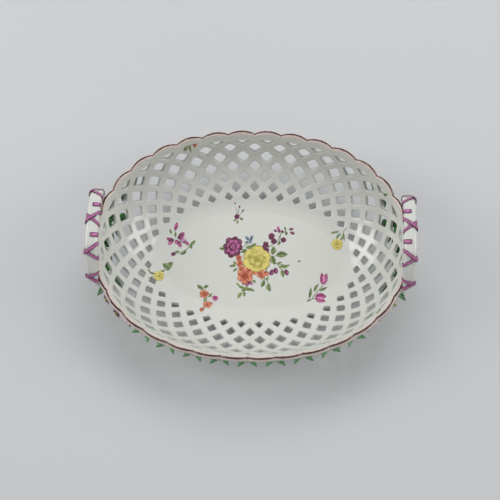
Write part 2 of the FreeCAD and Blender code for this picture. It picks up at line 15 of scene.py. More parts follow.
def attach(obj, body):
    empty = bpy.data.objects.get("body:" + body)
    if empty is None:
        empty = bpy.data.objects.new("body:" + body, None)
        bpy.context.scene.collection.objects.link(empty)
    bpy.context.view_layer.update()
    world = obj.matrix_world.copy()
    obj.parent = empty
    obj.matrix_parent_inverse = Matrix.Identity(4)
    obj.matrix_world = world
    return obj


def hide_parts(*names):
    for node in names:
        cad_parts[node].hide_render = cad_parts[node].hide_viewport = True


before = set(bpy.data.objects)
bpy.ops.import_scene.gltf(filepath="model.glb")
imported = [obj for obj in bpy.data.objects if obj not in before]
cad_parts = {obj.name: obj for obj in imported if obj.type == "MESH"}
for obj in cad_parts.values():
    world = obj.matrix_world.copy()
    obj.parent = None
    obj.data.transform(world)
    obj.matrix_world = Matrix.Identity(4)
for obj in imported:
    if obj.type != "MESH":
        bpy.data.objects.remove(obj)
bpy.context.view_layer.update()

bl_info = {
    "name": "Pierced Porcelain Basket",
    "version": (1, 0, 0),
    "blender": (4, 5, 0),
    "location": "View3D > Sidebar > Basket",
    "description": "Builds a pierced oval porcelain basket with ribbon-bound handles and flower sprays",
    "category": "Add Mesh",
}

MM = 0.001

# The bowl, in metres as the part has it: half lengths of the oval on the inner face, and its heights
FLOOR_HALF = (80 * MM, 46 * MM)
WALL_HALF = (131.4 * MM, 99.2 * MM)
FLOOR_Z = 10 * MM
WALL_TOP_Z = 56.6 * MM
FLOOR_THICK = 4.2 * MM
OVAL_POWER = 2.17

# Section of the wall: a stage is a row of holes, and at each the shares of the way from floor to rim
STAGES = (0.0, 0.5, 1.0, 2.0, 3.0, 4.0, 5.0, 6.0, 7.0, 7.4)
END_RUN = (0.0, 0.15, 0.266, 0.393, 0.529, 0.665, 0.79, 0.899, 0.975, 1.0)
SIDE_RUN = (0.0, 0.155, 0.263, 0.423, 0.573, 0.714, 0.831, 0.913, 0.972, 1.0)
RISE = (0.0, 0.028, 0.086, 0.148, 0.24, 0.369, 0.549, 0.768, 0.944, 1.0)
TOP_STAGE = STAGES[-1]
NEAR = 0.02  # stages to either side over which a slope is measured

# The lattice is counted in half pitches round the oval, so a hole and its neighbour are two apart
HOLES = 32
ROUND = 2 * HOLES
ROWS = 6
HALF_HOLE_TOP = 7.08
PLAIN_LOBE = 59
FLOOR_SHARE = 0.47

# The foot ring: its oval, how far it runs into the floor, and its rounded corner in millimetres
FOOT_HALF = (83 * MM, 50 * MM)
FOOT_BITE = 0.15 * MM
FOOT_CORNER = ((0.2, 1.0), (0.6, 0.3), (1.3, 0.0))
FOOT_COUNT = 192

# The handles: their path starts low on the wall and bends at a knee under the rim. The arch is given
# as shares of the half span and of the rise.
HANDLE_HALF_SPAN = 34 * MM
HANDLE_RISE = 22 * MM
HANDLE_THICK = 6 * MM
FOOT_THINNING = 0.5
HANDLE_OUTSET = -0.4 * MM
HANDLE_LEAN = 4 * MM
JOINT_GAP = 0.3 * MM
HANDLE_FOOT_STAGE, HANDLE_KNEE_STAGE, KNEE_OUT = 6.0, 6.7, 0.35 * MM
ARCH_SHOULDER, ARCH_UPPER = (1.04, 0.3), (0.5, 0.93)
SQUARENESS = 0.62
FLUTES = 3
HANDLE_ROUND, HANDLE_BLUNT = 0.012, 0.8

# The ribbon: crossings as (station, place across, slant in degrees), stations as shares of the length
# from the front foot, short bars by their station, and the section as shares of half width and height
CROSSINGS = ((0.178, 0.8, 20), (0.345, 0.7, 34), (0.55, 0.3, 38), (0.757, 0.75, 34))
BARS = (0.442, 0.64)
BAR_HALF, BAR_REACH = 1.8 * MM, 6.5 * MM
RIBBON_PROFILE = (
    (-1.0, 0.0), (0.0, 0.0), (1.0, 0.0), (1.03, 0.4), (0.85, 0.85), (0.5, 1.0), (0.0, 0.92), (-0.5, 1.0),
    (-0.85, 0.85), (-1.03, 0.4),
)

# Rim florets sit outside the notches that no handle covers, each with a leaf to either side
FLORET_NOTCHES = tuple(i for i in range(HOLES) if i not in (*range(6, 12), *range(21, 27)))
FLORET_STAGE, FLORET_HEADING = 7.02, 18
RIM_LEAF_HEADING, RIM_LEAF_LEAN, RIM_LEAF_START = 126, 62, 0.45

# Sprays, as shares of their length with the heading and the size of each leaf. One side is mirrored
# from the other. A leaf below share 0 lies over the handle's foot.
SPRAY_LENGTH, SPRAY_START, SPRAY_STAGE = 60 * MM, 9 * MM, 6.1
LEAF_OFF, BUD_OFF, BLOSSOM_OFF = 2.2 * MM, 5.4 * MM, 8.4 * MM
BLOSSOM_PROUD = 2.2 * MM
LEAF_LEAN, FOOT_LEAF_LEAN, UNDER_LEAF_LEAN, BLOSSOM_LEAN, BUD_HEADING = 10, 64, 4, 35, 20
FRONT_LEFT_LEAVES = (
    (-0.24, 128, 1.6), (0.24, 128, 0.8), (0.46, 60, 1.0), (0.5, 128, 1.0), (0.72, 125, 0.9), (0.86, 98, 1.0),
)
FRONT_RIGHT_LEAVES = ((-0.28, 128, 1.65), (0.22, 128, 0.8), (0.46, 128, 1.0), (0.68, 125, 0.8), (0.86, 98, 1.0))
BACK_LEAVES = ((0.02, 55, 0.8), (0.06, 138, 1.6), (0.3, 122, 1.3), (0.56, 150, 1.1), (0.62, 98, 1.3))
FRONT_RIGHT_BUDS = (0.215, 0.28, 0.37, 0.49, 0.59)
FRONT_RIGHT_BLOSSOMS, FRONT_LEFT_BLOSSOMS, BACK_BLOSSOMS = (0.09,), (0.12, 0.355), (0.2,)
FRONT_STEM_END, BACK_STEM_END = 0.82, 0.58

# The sprays under the handles run from the foot towards the middle of the end and a little down
END_STAGE, END_REACH, END_DROP = 5.35, 18 * MM, 4 * MM
END_LEAVES = ((0.1, 178, 0.85), (0.2, -32, 0.85), (0.45, -140, 0.8), (0.75, -15, 0.9), (1.05, -60, 1.1))

# The photograph's camera, in metres and degrees
CAMERA_PLACE, CAMERA_TARGET, CAMERA_ROLL = (0.0311, -0.3323, 1.0411), (0, 0, 0.014), -3.77
CAMERA_LENS, CAMERA_SENSOR, CAMERA_SHIFT = 86.4, 36.0, (-0.0046, 0.0176)

# Soft boxes: name, place, width, height, watts, and whether a reflection shows it. The top one stays
# out of reflections, so that the flat floor of the bowl shows no patch of it.
LAMPS = (
    ("left_softbox", (-1.6, 0.2, 1.2), 1.0, 1.2, 13.0, True),
    ("right_softbox", (1.6, 0.1, 1.15), 1.0, 1.2, 10.0, True),
    ("top_softbox", (0.1, 1.3, 1.9), 1.8, 1.2, 22.0, False),
)
LAMP_TARGET = (0, 0, 0.03)
TABLE_HALF, TABLE_FADE = 4.0, (0.45, 2.2)


def tone(code):
    """Linear colour of an sRGB hex value."""
    parts = [int(code[i:i + 2], 16) / 255 for i in (0, 2, 4)]
    return tuple(c / 12.92 if c <= 0.04045 else ((c + 0.055) / 1.055) ** 2.4 for c in parts) + (1.0,)


def length(name, default, description):
    return FloatProperty(
        name=name, description=description, default=default * MM, min=0.0,
        unit="LENGTH", subtype="DISTANCE", precision=5,
    )


def colour(name, code, description):
    return FloatVectorProperty(
        name=name, description=description, default=tone(code), size=4, min=0.0, max=1.0, subtype="COLOR"
    )


class BasketSizes(PropertyGroup):
    """Sizes that a user may change."""

    wall: length("Wall", 4.0, "Thickness of the pierced wall")
    strap: length("Strap", 5.6, "Width of the straps between the holes")
    edge_round: length("Edge rounding", 0.9, "Radius that the glaze gives to the edges of the holes")
    lip: length("Lip", 3.6, "Reach of the rim above the wall at its notches")
    lobe_rise: length("Lobe rise", 3.6, "Further reach of the rim at the top of a lobe")
    foot_width: length("Foot width", 5.0, "Width of the foot ring")
    handle_width: length("Handle width", 11.0, "Width of the handle band at its crown")
    handle_end_width: length("Handle end width", 7.5, "Width of the handle band at its feet")
    flute: length("Flute depth", 0.4, "Depth of the flutes along the handles")
    ribbon: length("Ribbon width", 2.6, "Width of the ribbon bound round the handles")
    ribbon_rise: length("Ribbon height", 0.55, "Height of the ribbon above the handle")
    floret: length("Floret radius", 4.2, "Radius of the florets outside the rim")
    floret_rise: length("Floret height", 2.6, "Height of the florets")
    rim_leaf: length("Rim leaf length", 8.6, "Length of the leaves beside the florets")
    spray_leaf: length("Spray leaf length", 11.0, "Length of the leaves of the sprays along the rim")
    end_leaf: length("End leaf length", 17.0, "Length of the leaves under the handles")
    stem: length("Stem radius", 1.1, "Radius of the applied stems")
    bud: length("Bud radius", 2.0, "Radius of the applied buds")
    bud_rise: length("Bud length", 3.2, "Length of the applied buds")
    blossom: length("Blossom radius", 5.0, "Radius of the blossoms at the feet of the handles")
    blossom_rise: length("Blossom height", 3.6, "Height of these blossoms")
    enamel: length("Enamel height", 0.06, "Height of the painted enamel above the glaze")


class BasketColours(PropertyGroup):
    """Colours that a user may change."""

    glaze: colour("Glaze", "d2d3cd", "Body colour of the glazed porcelain")
    # Glaze colour of the hole sides and flutes: greener where the glaze pools, and darker there as painted shade
    pooled_glaze_shade: colour("Pooled glaze", "c2c6be", "Greener glaze where it pools in the holes and hollows")
    speck: colour("Speck", "8f867a", "Sparse specks of ash under the glaze")
    biscuit: colour("Bare foot", "d3c8b4", "Unglazed edge that the basket stands on")
    biscuit_deep: colour("Soiled foot", "b3a48c", "Darker grit on the bare edge")
    rim_line: colour("Rim line", "3a150b", "Brown enamel line on the crest of the rim")
    rim_flush: colour("Rim flush", "dcc3b8", "Thin wash beside the line")
    puce_deep: colour("Deep puce", "64124a", "Ribbon edge, where the enamel is thick")
    # Pale puce of the ribbon's raised middle: thinner enamel there, and a painted highlight along the crest
    puce_pale: colour("Pale puce", "c878b0", "Ribbon centre, where the enamel is thin")
    green: colour("Leaf green", "93a468", "Thin green enamel")
    green_deep: colour("Deep green", "44592a", "Thick green enamel")
    moss: colour("Moss", "a9b06a", "Thin yellow-green enamel")
    moss_deep: colour("Deep moss", "5c6a34", "Thick yellow-green enamel")
    rim_green: colour("Rim leaf green", "8ec496", "Thin green enamel of the leaves beside the florets")
    applied_green: colour("Applied leaf", "3f8438", "Green enamel of the applied leaves")
    applied_deep: colour("Deep applied leaf", "133c1c", "The same where it pools")
    purple: colour("Purple", "b85a92", "Thin purple enamel")
    purple_deep: colour("Deep purple", "560a38", "Thick purple enamel")
    rose: colour("Rose", "dc8cba", "Thin rose enamel")
    rose_deep: colour("Deep rose", "8c1a5c", "Thick rose enamel")
    lilac: colour("Lilac", "d3b6dc", "Thin lilac enamel")
    blue: colour("Blue", "8fa6b4", "Thin blue enamel")
    blue_deep: colour("Deep blue", "3c5a70", "Thick blue enamel")
    yellow: colour("Yellow", "dccd70", "Thin yellow enamel")
    yellow_deep: colour("Deep yellow", "9c9034", "Thick yellow enamel")
    red: colour("Iron red", "e0926c", "Thin iron-red enamel")
    red_deep: colour("Deep iron red", "96300f", "Thick iron-red enamel")
    petal: colour("Floret", "e3e2dc", "White petals of the florets")
    petal_edge: colour("Floret edge", "c890b4", "Tint of the petal edges")
    heart: colour("Heart", "d0bd78", "Yellow heart of the florets")
    stem: colour("Stem", "7f8a58", "Thin brown-green enamel of the stems")
    stem_deep: colour("Deep stem", "47502c", "The same where it pools")
    bud: colour("Bud", "b0705a", "Thin brown-red enamel of the buds")
    bud_deep: colour("Deep bud", "5a2018", "The same where it pools")
    backdrop: colour("Backdrop", "e2e3e5", "Paper that the table runs into")
    floor: colour("Floor", "c8c9cb", "Table that the basket stands on")
    floor_cloud: colour("Floor cloud", "cecfd1", "Broad paler clouds on the table")
    daylight: colour("Daylight", "f3f4f4", "Even light of the studio")


# Shape of the wall


def blend(table, stage):
    """Smooth value of a table at a stage of the wall section."""
    last = len(STAGES) - 1
    index = 0
    while index < last - 1 and stage > STAGES[index + 1]:
        index += 1
    span = STAGES[index + 1] - STAGES[index]
    t = (stage - STAGES[index]) / span

    def slope(i):
        low, high = max(i - 1, 0), min(i + 1, last)
        return (table[high] - table[low]) / (STAGES[high] - STAGES[low]) * span

    start, end = table[index], table[index + 1]
    rise = end - start
    a, b = slope(index), slope(index + 1)
    return start + t * (a + t * (3 * rise - 2 * a - b + t * (a + b - 2 * rise)))


@functools.lru_cache(maxsize=None)
def section(stage):
    """Half length, half width and height of the inner face at a stage."""
    return (
        FLOOR_HALF[0] + (WALL_HALF[0] - FLOOR_HALF[0]) * blend(END_RUN, stage),
        FLOOR_HALF[1] + (WALL_HALF[1] - FLOOR_HALF[1]) * blend(SIDE_RUN, stage),
        FLOOR_Z + (WALL_TOP_Z - FLOOR_Z) * blend(RISE, stage),
    )


@functools.lru_cache(maxsize=None)
def incline(stage):
    """Unit run and rise of the section at a stage."""
    low, high = section(max(stage - NEAR, 0.0)), section(min(stage + NEAR, TOP_STAGE))
    run = (high[0] - low[0] + high[1] - low[1]) / 2
    rise = high[2] - low[2]
    size = math.hypot(run, rise)
    return run / size, rise / size


def quarter(half_length, half_width, count=256):
    """Evenly spaced points of a quarter of the oval from +Y to +X, and its length."""
    angle = np.linspace(0, math.pi / 2, 1201)
    x = half_length * np.sin(angle) ** (2 / OVAL_POWER)
    y = half_width * np.maximum(np.cos(angle), 0) ** (2 / OVAL_POWER)
    run = np.concatenate(([0.0], np.cumsum(np.hypot(np.diff(x), np.diff(y)))))
    goal = np.linspace(0, run[-1], count + 1)
    return np.interp(goal, run, x).tolist(), np.interp(goal, run, y).tolist(), float(run[-1])


def on_quarter(table, half_length, half_width, turn):
    """Point and outward normal at a share of the way round, clockwise from +Y."""
    xs, ys = table[0], table[1]
    turn = turn % 1.0 % 1.0  # twice, as a tiny negative turn gives 1.0 the first time
    side = int(turn * 4) % 4
    part = turn * 4 - side
    if side % 2:
        part = 1 - part
    place = part * (len(xs) - 1)
    low = min(int(place), len(xs) - 2)
    t = place - low
    x, y = (max(0.0, line[low] + t * (line[low + 1] - line[low])) for line in (xs, ys))
    normal = Vector((
        (x / half_length) ** (OVAL_POWER - 1) / half_length,
        (y / half_width) ** (OVAL_POWER - 1) / half_width,
        0,
    ))
    normal.normalize()
    along, back = (1 if side < 2 else -1), (1 if side in (0, 3) else -1)
    return Vector((along * x, back * y, 0)), Vector((along * normal.x, back * normal.y, 0))


class Wall:
    """Places on the wall, looked up in tables that are made once."""

    step = 0.05

    def __init__(self):
        count = round(TOP_STAGE / self.step)
        self.sections = [section(i * self.step) for i in range(count + 1)]
        self.tables = [quarter(s[0], s[1]) for s in self.sections]
        self.half_lengths, self.half_widths, self.heights = np.array(self.sections).T

    def place(self, turn, stage):
        """Point on the inner face with the directions round, up the slope and out of the wall."""
        stage = max(0.0, min(stage, TOP_STAGE))
        at = stage / self.step
        low = min(int(at), len(self.tables) - 2)
        t = at - low
        height = section(stage)[2]
        a, normal = on_quarter(self.tables[low], *self.sections[low][:2], turn)
        b, other = on_quarter(self.tables[low + 1], *self.sections[low + 1][:2], turn)
        normal = normal.lerp(other, t).normalized()
        run, rise = incline(stage)
        up = normal * run + Vector((0, 0, rise))
        out = normal * rise - Vector((0, 0, run))
        return a.lerp(b, t) + Vector((0, 0, height)), Vector((normal.y, -normal.x, 0)), up, out

    def point(self, turn, stage, depth):
        base, _, _, out = self.place(turn, stage)
        return base + out * depth

    def height(self, x, y):
        """Height of the inner face over a point of the plan."""
        reach = (abs(x) / self.half_lengths) ** OVAL_POWER + (abs(y) / self.half_widths) ** OVAL_POWER
        if reach[0] <= 1:
            return FLOOR_Z
        return float(np.interp(-1.0, -reach, self.heights))

    def over(self, x, y, lift):
        """Point a little proud of the inner face over a point of the plan."""
        step = 0.4 * MM
        here = self.height(x, y)
        rise_x = (self.height(x + step, y) - self.height(x - step, y)) / (2 * step)
        rise_y = (self.height(x, y + step) - self.height(x, y - step)) / (2 * step)
        return Vector((x, y, here)) + Vector((-rise_x, -rise_y, 1)).normalized() * lift

    def step_along(self, turn, stage, sideways, upward, depth):
        """Place on the wall that lies a given way off, along it."""
        half_length, half_width, _ = section(stage)
        around = 4 * quarter(half_length + depth, half_width + depth)[2]
        low, high = section(stage - NEAR), section(stage + NEAR)
        run = (high[0] - low[0] + high[1] - low[1]) / 2
        return turn + sideways / around, stage + upward / (math.hypot(run, high[2] - low[2]) / (2 * NEAR))


WALL = Wall()


# Pieces


class Shell:
    """Points and faces of one piece, with the marks that its finish reads."""

    def __init__(self, *marks):
        self.points = []
        self.faces = []
        self.marks = {name: [] for name in marks}

    def add(self, place, **marks):
        self.points.append(place)
        for name, values in self.marks.items():
            values.append(marks.get(name, 0.0))
        return len(self.points) - 1

    def grid(self, rows, closed=False):
        """Faces between rows of points."""
        count = len(rows[0])
        for low, high in zip(rows, rows[1:]):
            for i in range(count if closed else count - 1):
                j = (i + 1) % count
                self.faces.append((low[i], low[j], high[j], high[i]))

    def cap(self, ring):
        self.faces.append(tuple(ring))

    def piece(self, name, finish, merge=0.002 * MM):
        """One object with its doubles merged and its faces turned outwards."""
        bm = bmesh.new()
        layers = [bm.verts.layers.float.new(mark) for mark in self.marks]
        values = list(zip(*self.marks.values())) or [()] * len(self.points)
        verts = []
        for place, marks in zip(self.points, values):
            verts.append(bm.verts.new(place))
            for layer, value in zip(layers, marks):
                verts[-1][layer] = value
        for face in self.faces:
            bm.faces.new([verts[i] for i in face])
        bmesh.ops.remove_doubles(bm, verts=bm.verts[:], dist=merge)
        bmesh.ops.dissolve_degenerate(bm, edges=bm.edges[:], dist=merge / 10)
        bmesh.ops.recalc_face_normals(bm, faces=bm.faces[:])
        for face in bm.faces:
            face.smooth = True
        mesh = bpy.data.meshes.new(name)
        bm.to_mesh(mesh)
        bm.free()
        return new_piece(name, mesh, finish)


def new_piece(name, mesh, finish):
    mesh.materials.clear()
    mesh.materials.append(finish)
    piece = bpy.data.objects.new(name, mesh)
    bpy.context.scene.collection.objects.link(piece)
    return piece


def seat(piece, slot, *nodes):
    """The piece rides on the part's one body, in place of its CAD nodes."""
    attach(piece, "root")
    if nodes:
        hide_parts(*nodes)


def spline(points, count, fine_count=1500):
    """Even places along a smooth line through points, with its directions, and its length."""
    knots = np.array([tuple(p) for p in points])
    gap = np.sqrt((np.diff(knots, axis=0) ** 2).sum(1))
    at = np.concatenate(([0.0], np.cumsum(gap)))
    size = len(knots)
    system, pull = np.eye(size), np.zeros((size, knots.shape[1]))
    for i in range(1, size - 1):
        system[i, i - 1:i + 2] = gap[i - 1], 2 * (gap[i - 1] + gap[i]), gap[i]
        pull[i] = 6 * ((knots[i + 1] - knots[i]) / gap[i] - (knots[i] - knots[i - 1]) / gap[i - 1])
    bend = np.linalg.solve(system, pull)
    fine = np.linspace(0, at[-1], fine_count)
    index = np.clip(np.searchsorted(at, fine, side="right") - 1, 0, size - 2)
    span, after = gap[index][:, None], (fine - at[index])[:, None]
    before = span - after
    line = (bend[index] * before ** 3 + bend[index + 1] * after ** 3) / (6 * span)
    line += (knots[index] / span - bend[index] * span / 6) * before
    line += (knots[index + 1] / span - bend[index + 1] * span / 6) * after
    run = np.concatenate(([0.0], np.cumsum(np.sqrt((np.diff(line, axis=0) ** 2).sum(1)))))
    goal = np.linspace(0, run[-1], count + 1)
    even = np.stack([np.interp(goal, run, line[:, k]) for k in range(knots.shape[1])], axis=1)
    way = np.gradient(even, axis=0)
    way /= np.sqrt((way ** 2).sum(1))[:, None]
    return even, way, float(run[-1])


# Finishes


def add_node(tree, kind, settings=None, **inputs):
    """Adds a node. Inputs go by socket name, or by place as i0, i1, and are values or sockets to link."""
    node = tree.nodes.new(kind)
    for name, value in (settings or {}).items():
        setattr(node, name, value)
    for name, value in inputs.items():
        socket = node.inputs[int(name[1:]) if name[0] == "i" and name[1:].isdigit() else name.replace("_", " ")]
        if isinstance(value, bpy.types.NodeSocket):
            tree.links.new(value, socket)
        else:
            socket.default_value = value
    return node


def new_finish(name):
    """An empty material with its shader and output."""
    finish = bpy.data.materials.new(name)
    finish.use_nodes = True
    tree = finish.node_tree
    tree.nodes.clear()
    shader = add_node(tree, "ShaderNodeBsdfPrincipled")
    out = add_node(tree, "ShaderNodeOutputMaterial", Surface=shader.outputs[0])
    out.is_active_output = True
    return finish, tree, shader


def mix(tree, factor, first, second):
    return add_node(tree, "ShaderNodeMix", {"data_type": "RGBA"}, i0=factor, i6=first, i7=second).outputs[2]


def maths(tree, operation, *values):
    inputs = {f"i{place}": value for place, value in enumerate(values)}
    return add_node(tree, "ShaderNodeMath", {"operation": operation}, **inputs).outputs[0]


def on_object(tree):
    """Object coordinates, so that every scale is in metres of the real thing."""
    return add_node(tree, "ShaderNodeTexCoord").outputs["Object"]


def band(tree, value, low, high):
    """Smooth step from 0 to 1 between two values."""
    node = add_node(
        tree, "ShaderNodeMapRange", {"interpolation_type": "SMOOTHSTEP"},
        Value=value, From_Min=low, From_Max=high, To_Min=0.0, To_Max=1.0,
    )
    return node.outputs[0]


def mark(tree, name):
    return add_node(tree, "ShaderNodeAttribute", {"attribute_name": name}).outputs["Fac"]


def noise(tree, millimetres, detail=2.0, shift=0.0):
    """Noise on Object coordinates whose grain is a size in millimetres."""
    moved = add_node(tree, "ShaderNodeMapping", i0=on_object(tree), i1=(shift, shift, shift)).outputs[0]
    scale = 1 / (millimetres * MM)
    return add_node(tree, "ShaderNodeTexNoise", Vector=moved, Scale=scale, Detail=detail).outputs[0]


def ripple(tree, shader, height, strength, depth):
    """Bump of a real depth in millimetres, so that highlights waver as on a fired glaze."""
    bump = add_node(tree, "ShaderNodeBump", Strength=strength, Distance=depth * MM, Height=height)
    tree.links.new(bump.outputs[0], shader.inputs["Normal"])


def gloss(tree, shader, value, low, high):
    """Roughness that runs from low to high with a value."""
    rough = add_node(tree, "ShaderNodeMapRange", Value=value, To_Min=low, To_Max=high)
    tree.links.new(rough.outputs[0], shader.inputs["Roughness"])


def coat(shader, index, weight, rough):
    """Index of refraction of a glass, and the sharper layer over it."""
    shader.inputs["IOR"].default_value = index
    shader.inputs["Coat Weight"].default_value = weight
    shader.inputs["Coat Roughness"].default_value = rough


def glazed_porcelain(colours):
    """Hard-paste porcelain under a clear feldspar glaze: a cool white body, a sharp reflection over
    a soft one, faint waves where the glaze ran, and a greener, darker glaze tone in holes and hollows,
    partly from glaze that pools there and partly painted shade.
    The rim carries a brown enamel line with a thin flush beside it."""
    finish, tree, shader = new_finish("glazed_porcelain")
    # The mark greens and darkens the glaze on the hole sides and in the handle flutes: partly glaze that pools
    # there, partly painted shade
    pooling_and_shade = maths(tree, "MULTIPLY", mark(tree, "well"), 0.75)
    body = mix(tree, pooling_and_shade, colours.glaze, colours.pooled_glaze_shade)
    cells = add_node(tree, "ShaderNodeTexVoronoi", Vector=on_object(tree), Scale=1 / (11 * MM))
    speck = band(tree, cells.outputs["Distance"], 0.035, 0.02)
    body = mix(tree, speck, body, colours.speck)
    # The crest mark runs to 1 on the crest of the rim; noise lets the brush wander off it
    crest = maths(tree, "MULTIPLY_ADD", noise(tree, 5.0, detail=3.0, shift=3.0), 0.16, mark(tree, "crest"))
    flush = maths(tree, "MULTIPLY", band(tree, crest, 0.1, 0.6), 0.8)
    body = mix(tree, flush, body, colours.rim_flush)
    worn = band(tree, noise(tree, 1.3, shift=7.0), 0.22, 0.4)
    line = maths(tree, "MULTIPLY", band(tree, crest, 0.8, 0.9), worn)
    body = mix(tree, line, body, colours.rim_line)
    tree.links.new(body, shader.inputs["Base Color"])
    gloss(tree, shader, noise(tree, 18.0, shift=5.0), 0.13, 0.24)
    coat(shader, 1.5, 0.5, 0.04)
    ripple(tree, shader, noise(tree, 7.0, shift=11.0), 0.6, 0.12)
    return finish


def foot_porcelain(colours):
    """The same porcelain, with the glaze wiped off the edge that stood in the kiln: matt and warmer there."""
    finish, tree, shader = new_finish("foot_porcelain")
    level = add_node(tree, "ShaderNodeSeparateXYZ", i0=on_object(tree)).outputs[2]
    ragged = maths(tree, "MULTIPLY_ADD", noise(tree, 4.0), 1.2 * MM, level)
    bare = band(tree, ragged, 1.5 * MM, 1.0 * MM)
    grit = noise(tree, 0.8, detail=4.0, shift=2.0)
    clay = mix(tree, band(tree, grit, 0.4, 0.7), colours.biscuit, colours.biscuit_deep)
    tree.links.new(mix(tree, bare, colours.glaze, clay), shader.inputs["Base Color"])
    gloss(tree, shader, bare, 0.16, 0.75)
    shader.inputs["IOR"].default_value = 1.5
    ripple(tree, shader, grit, 0.4, 0.08)
    return finish


def enamel(name, pale, deep, edge=None, streak=0.7):
    """Lead-glass enamel brushed over the glaze: the mark wash runs from 0, a thick dark stroke,
    to 1, a thin pale wash. Brush streaks and small pools break up the tone, and the gloss is softer
    than the glaze. The mark tint lays another tone along the edges of modelled petals."""
    finish, tree, shader = new_finish(name)
    streaks = noise(tree, streak, detail=3.0)
    pools = noise(tree, 3.5, shift=9.0)
    thin = maths(tree, "MULTIPLY_ADD", streaks, 1.1, mark(tree, "wash"))
    thin = maths(tree, "MULTIPLY_ADD", pools, 0.25, thin)
    paint = mix(tree, band(tree, thin, 0.8, 1.6), deep, pale)
    if edge:
        paint = mix(tree, mark(tree, "tint"), paint, edge)
    tree.links.new(paint, shader.inputs["Base Color"])
    gloss(tree, shader, pools, 0.18, 0.36)
    coat(shader, 1.55, 0.25, 0.1)
    ripple(tree, shader, streaks, 0.35, 0.06)
    return finish


def finish_named(name, colours):
    """The finish of that name, made the first time that it is asked for."""
    known = bpy.data.materials.get(name)
    if known:
        return known
    c = colours
    makers = {
        "glazed_porcelain": lambda: glazed_porcelain(c),
        "foot_porcelain": lambda: foot_porcelain(c),
        # Gold-based puce: deep at the ribbon's edges, where the brush let it run thick, and pale along the crest,
        # partly thinner enamel and partly a painted highlight
        "puce_enamel": lambda: enamel(name, c.puce_pale, c.puce_deep),
        # Copper green, translucent, with the darker drawing of the veins under it
        "green_enamel": lambda: enamel(name, c.green, c.green_deep),
        # Copper green, thin and milky over the slip of the rim leaves
        "pale_green_enamel": lambda: enamel(name, c.rim_green, c.applied_green),
        # Copper green, thick and nearly bottle green, on the leaves of the sprays
        "applied_green_enamel": lambda: enamel(name, c.applied_green, c.applied_deep),
        # Copper green browned with iron, on the rolled stems
        "brown_green_enamel": lambda: enamel(name, c.stem, c.stem_deep),
        # Iron red browned with manganese, on the applied buds
        "brown_red_enamel": lambda: enamel(name, c.bud, c.bud_deep),
        # Copper green with yellow, the thin wash of young leaves
        "moss_enamel": lambda: enamel(name, c.moss, c.moss_deep),
        # Manganese purple, nearly black where it is thick
        "plum_enamel": lambda: enamel(name, c.purple, c.purple_deep),
        # Thin gold purple, which fires to a cool pink
        "rose_enamel": lambda: enamel(name, c.rose, c.rose_deep),
        # Gold purple with cobalt, thinned to a pale violet that darkens to purple
        "lilac_enamel": lambda: enamel(name, c.lilac, c.purple),
        # Cobalt with a little green
        "blue_enamel": lambda: enamel(name, c.blue, c.blue_deep),
        # Antimony yellow, shaded with olive
        "yellow_enamel": lambda: enamel(name, c.yellow, c.yellow_deep),
        # Iron red, orange where it is thin
        "iron_red_enamel": lambda: enamel(name, c.red, c.red_deep),
        # White slip petals under glaze, tinted along their edges
        "petal_porcelain": lambda: enamel(name, c.petal, c.petal, c.petal_edge),
        # Manganese purple washed over slip petals, paler at their edges
        "plum_petal_enamel": lambda: enamel(name, c.purple_deep, c.purple_deep, c.purple),
        # Antimony yellow on the beads of a floret's heart, olive between them
        "heart_enamel": lambda: enamel(name, c.heart, c.yellow_deep),
    }
    return makers[name]()


# The pierced bowl


def run_between(a, b, steps):
    """Places from one (u, stage) to another, at shares of the way."""
    return [(a[0] + (b[0] - a[0]) * t, a[1] + (b[1] - a[1]) * t) for t in steps]


def bent(a, b, c, steps):
    return run_between(a, b, steps) + run_between(b, c, steps)[1:]


def pitch_between(low_stage, high_stage):
    """Way up the wall in metres for one stage, between two stages."""
    low, high = section(low_stage), section(high_stage)
    run, rise = (high[0] - low[0] + high[1] - low[1]) / 2, high[2] - low[2]
    return math.hypot(run, rise) / (high_stage - low_stage)


def row_share(row, sizes):
    """Half width of a hole of the row as a share of the pitch, with the share and the stage of one metre."""
    half_length, half_width, _ = section(row)
    half_pitch = 4 * quarter(half_length, half_width)[2] / ROUND
    pitch = pitch_between(row if row < 2 else row - 1.0, min(row + 1.0, TOP_STAGE))
    across = 2 * half_pitch * pitch / math.hypot(half_pitch, pitch)
    return 1 - sizes.strap / across, 2 / across, 1 / pitch


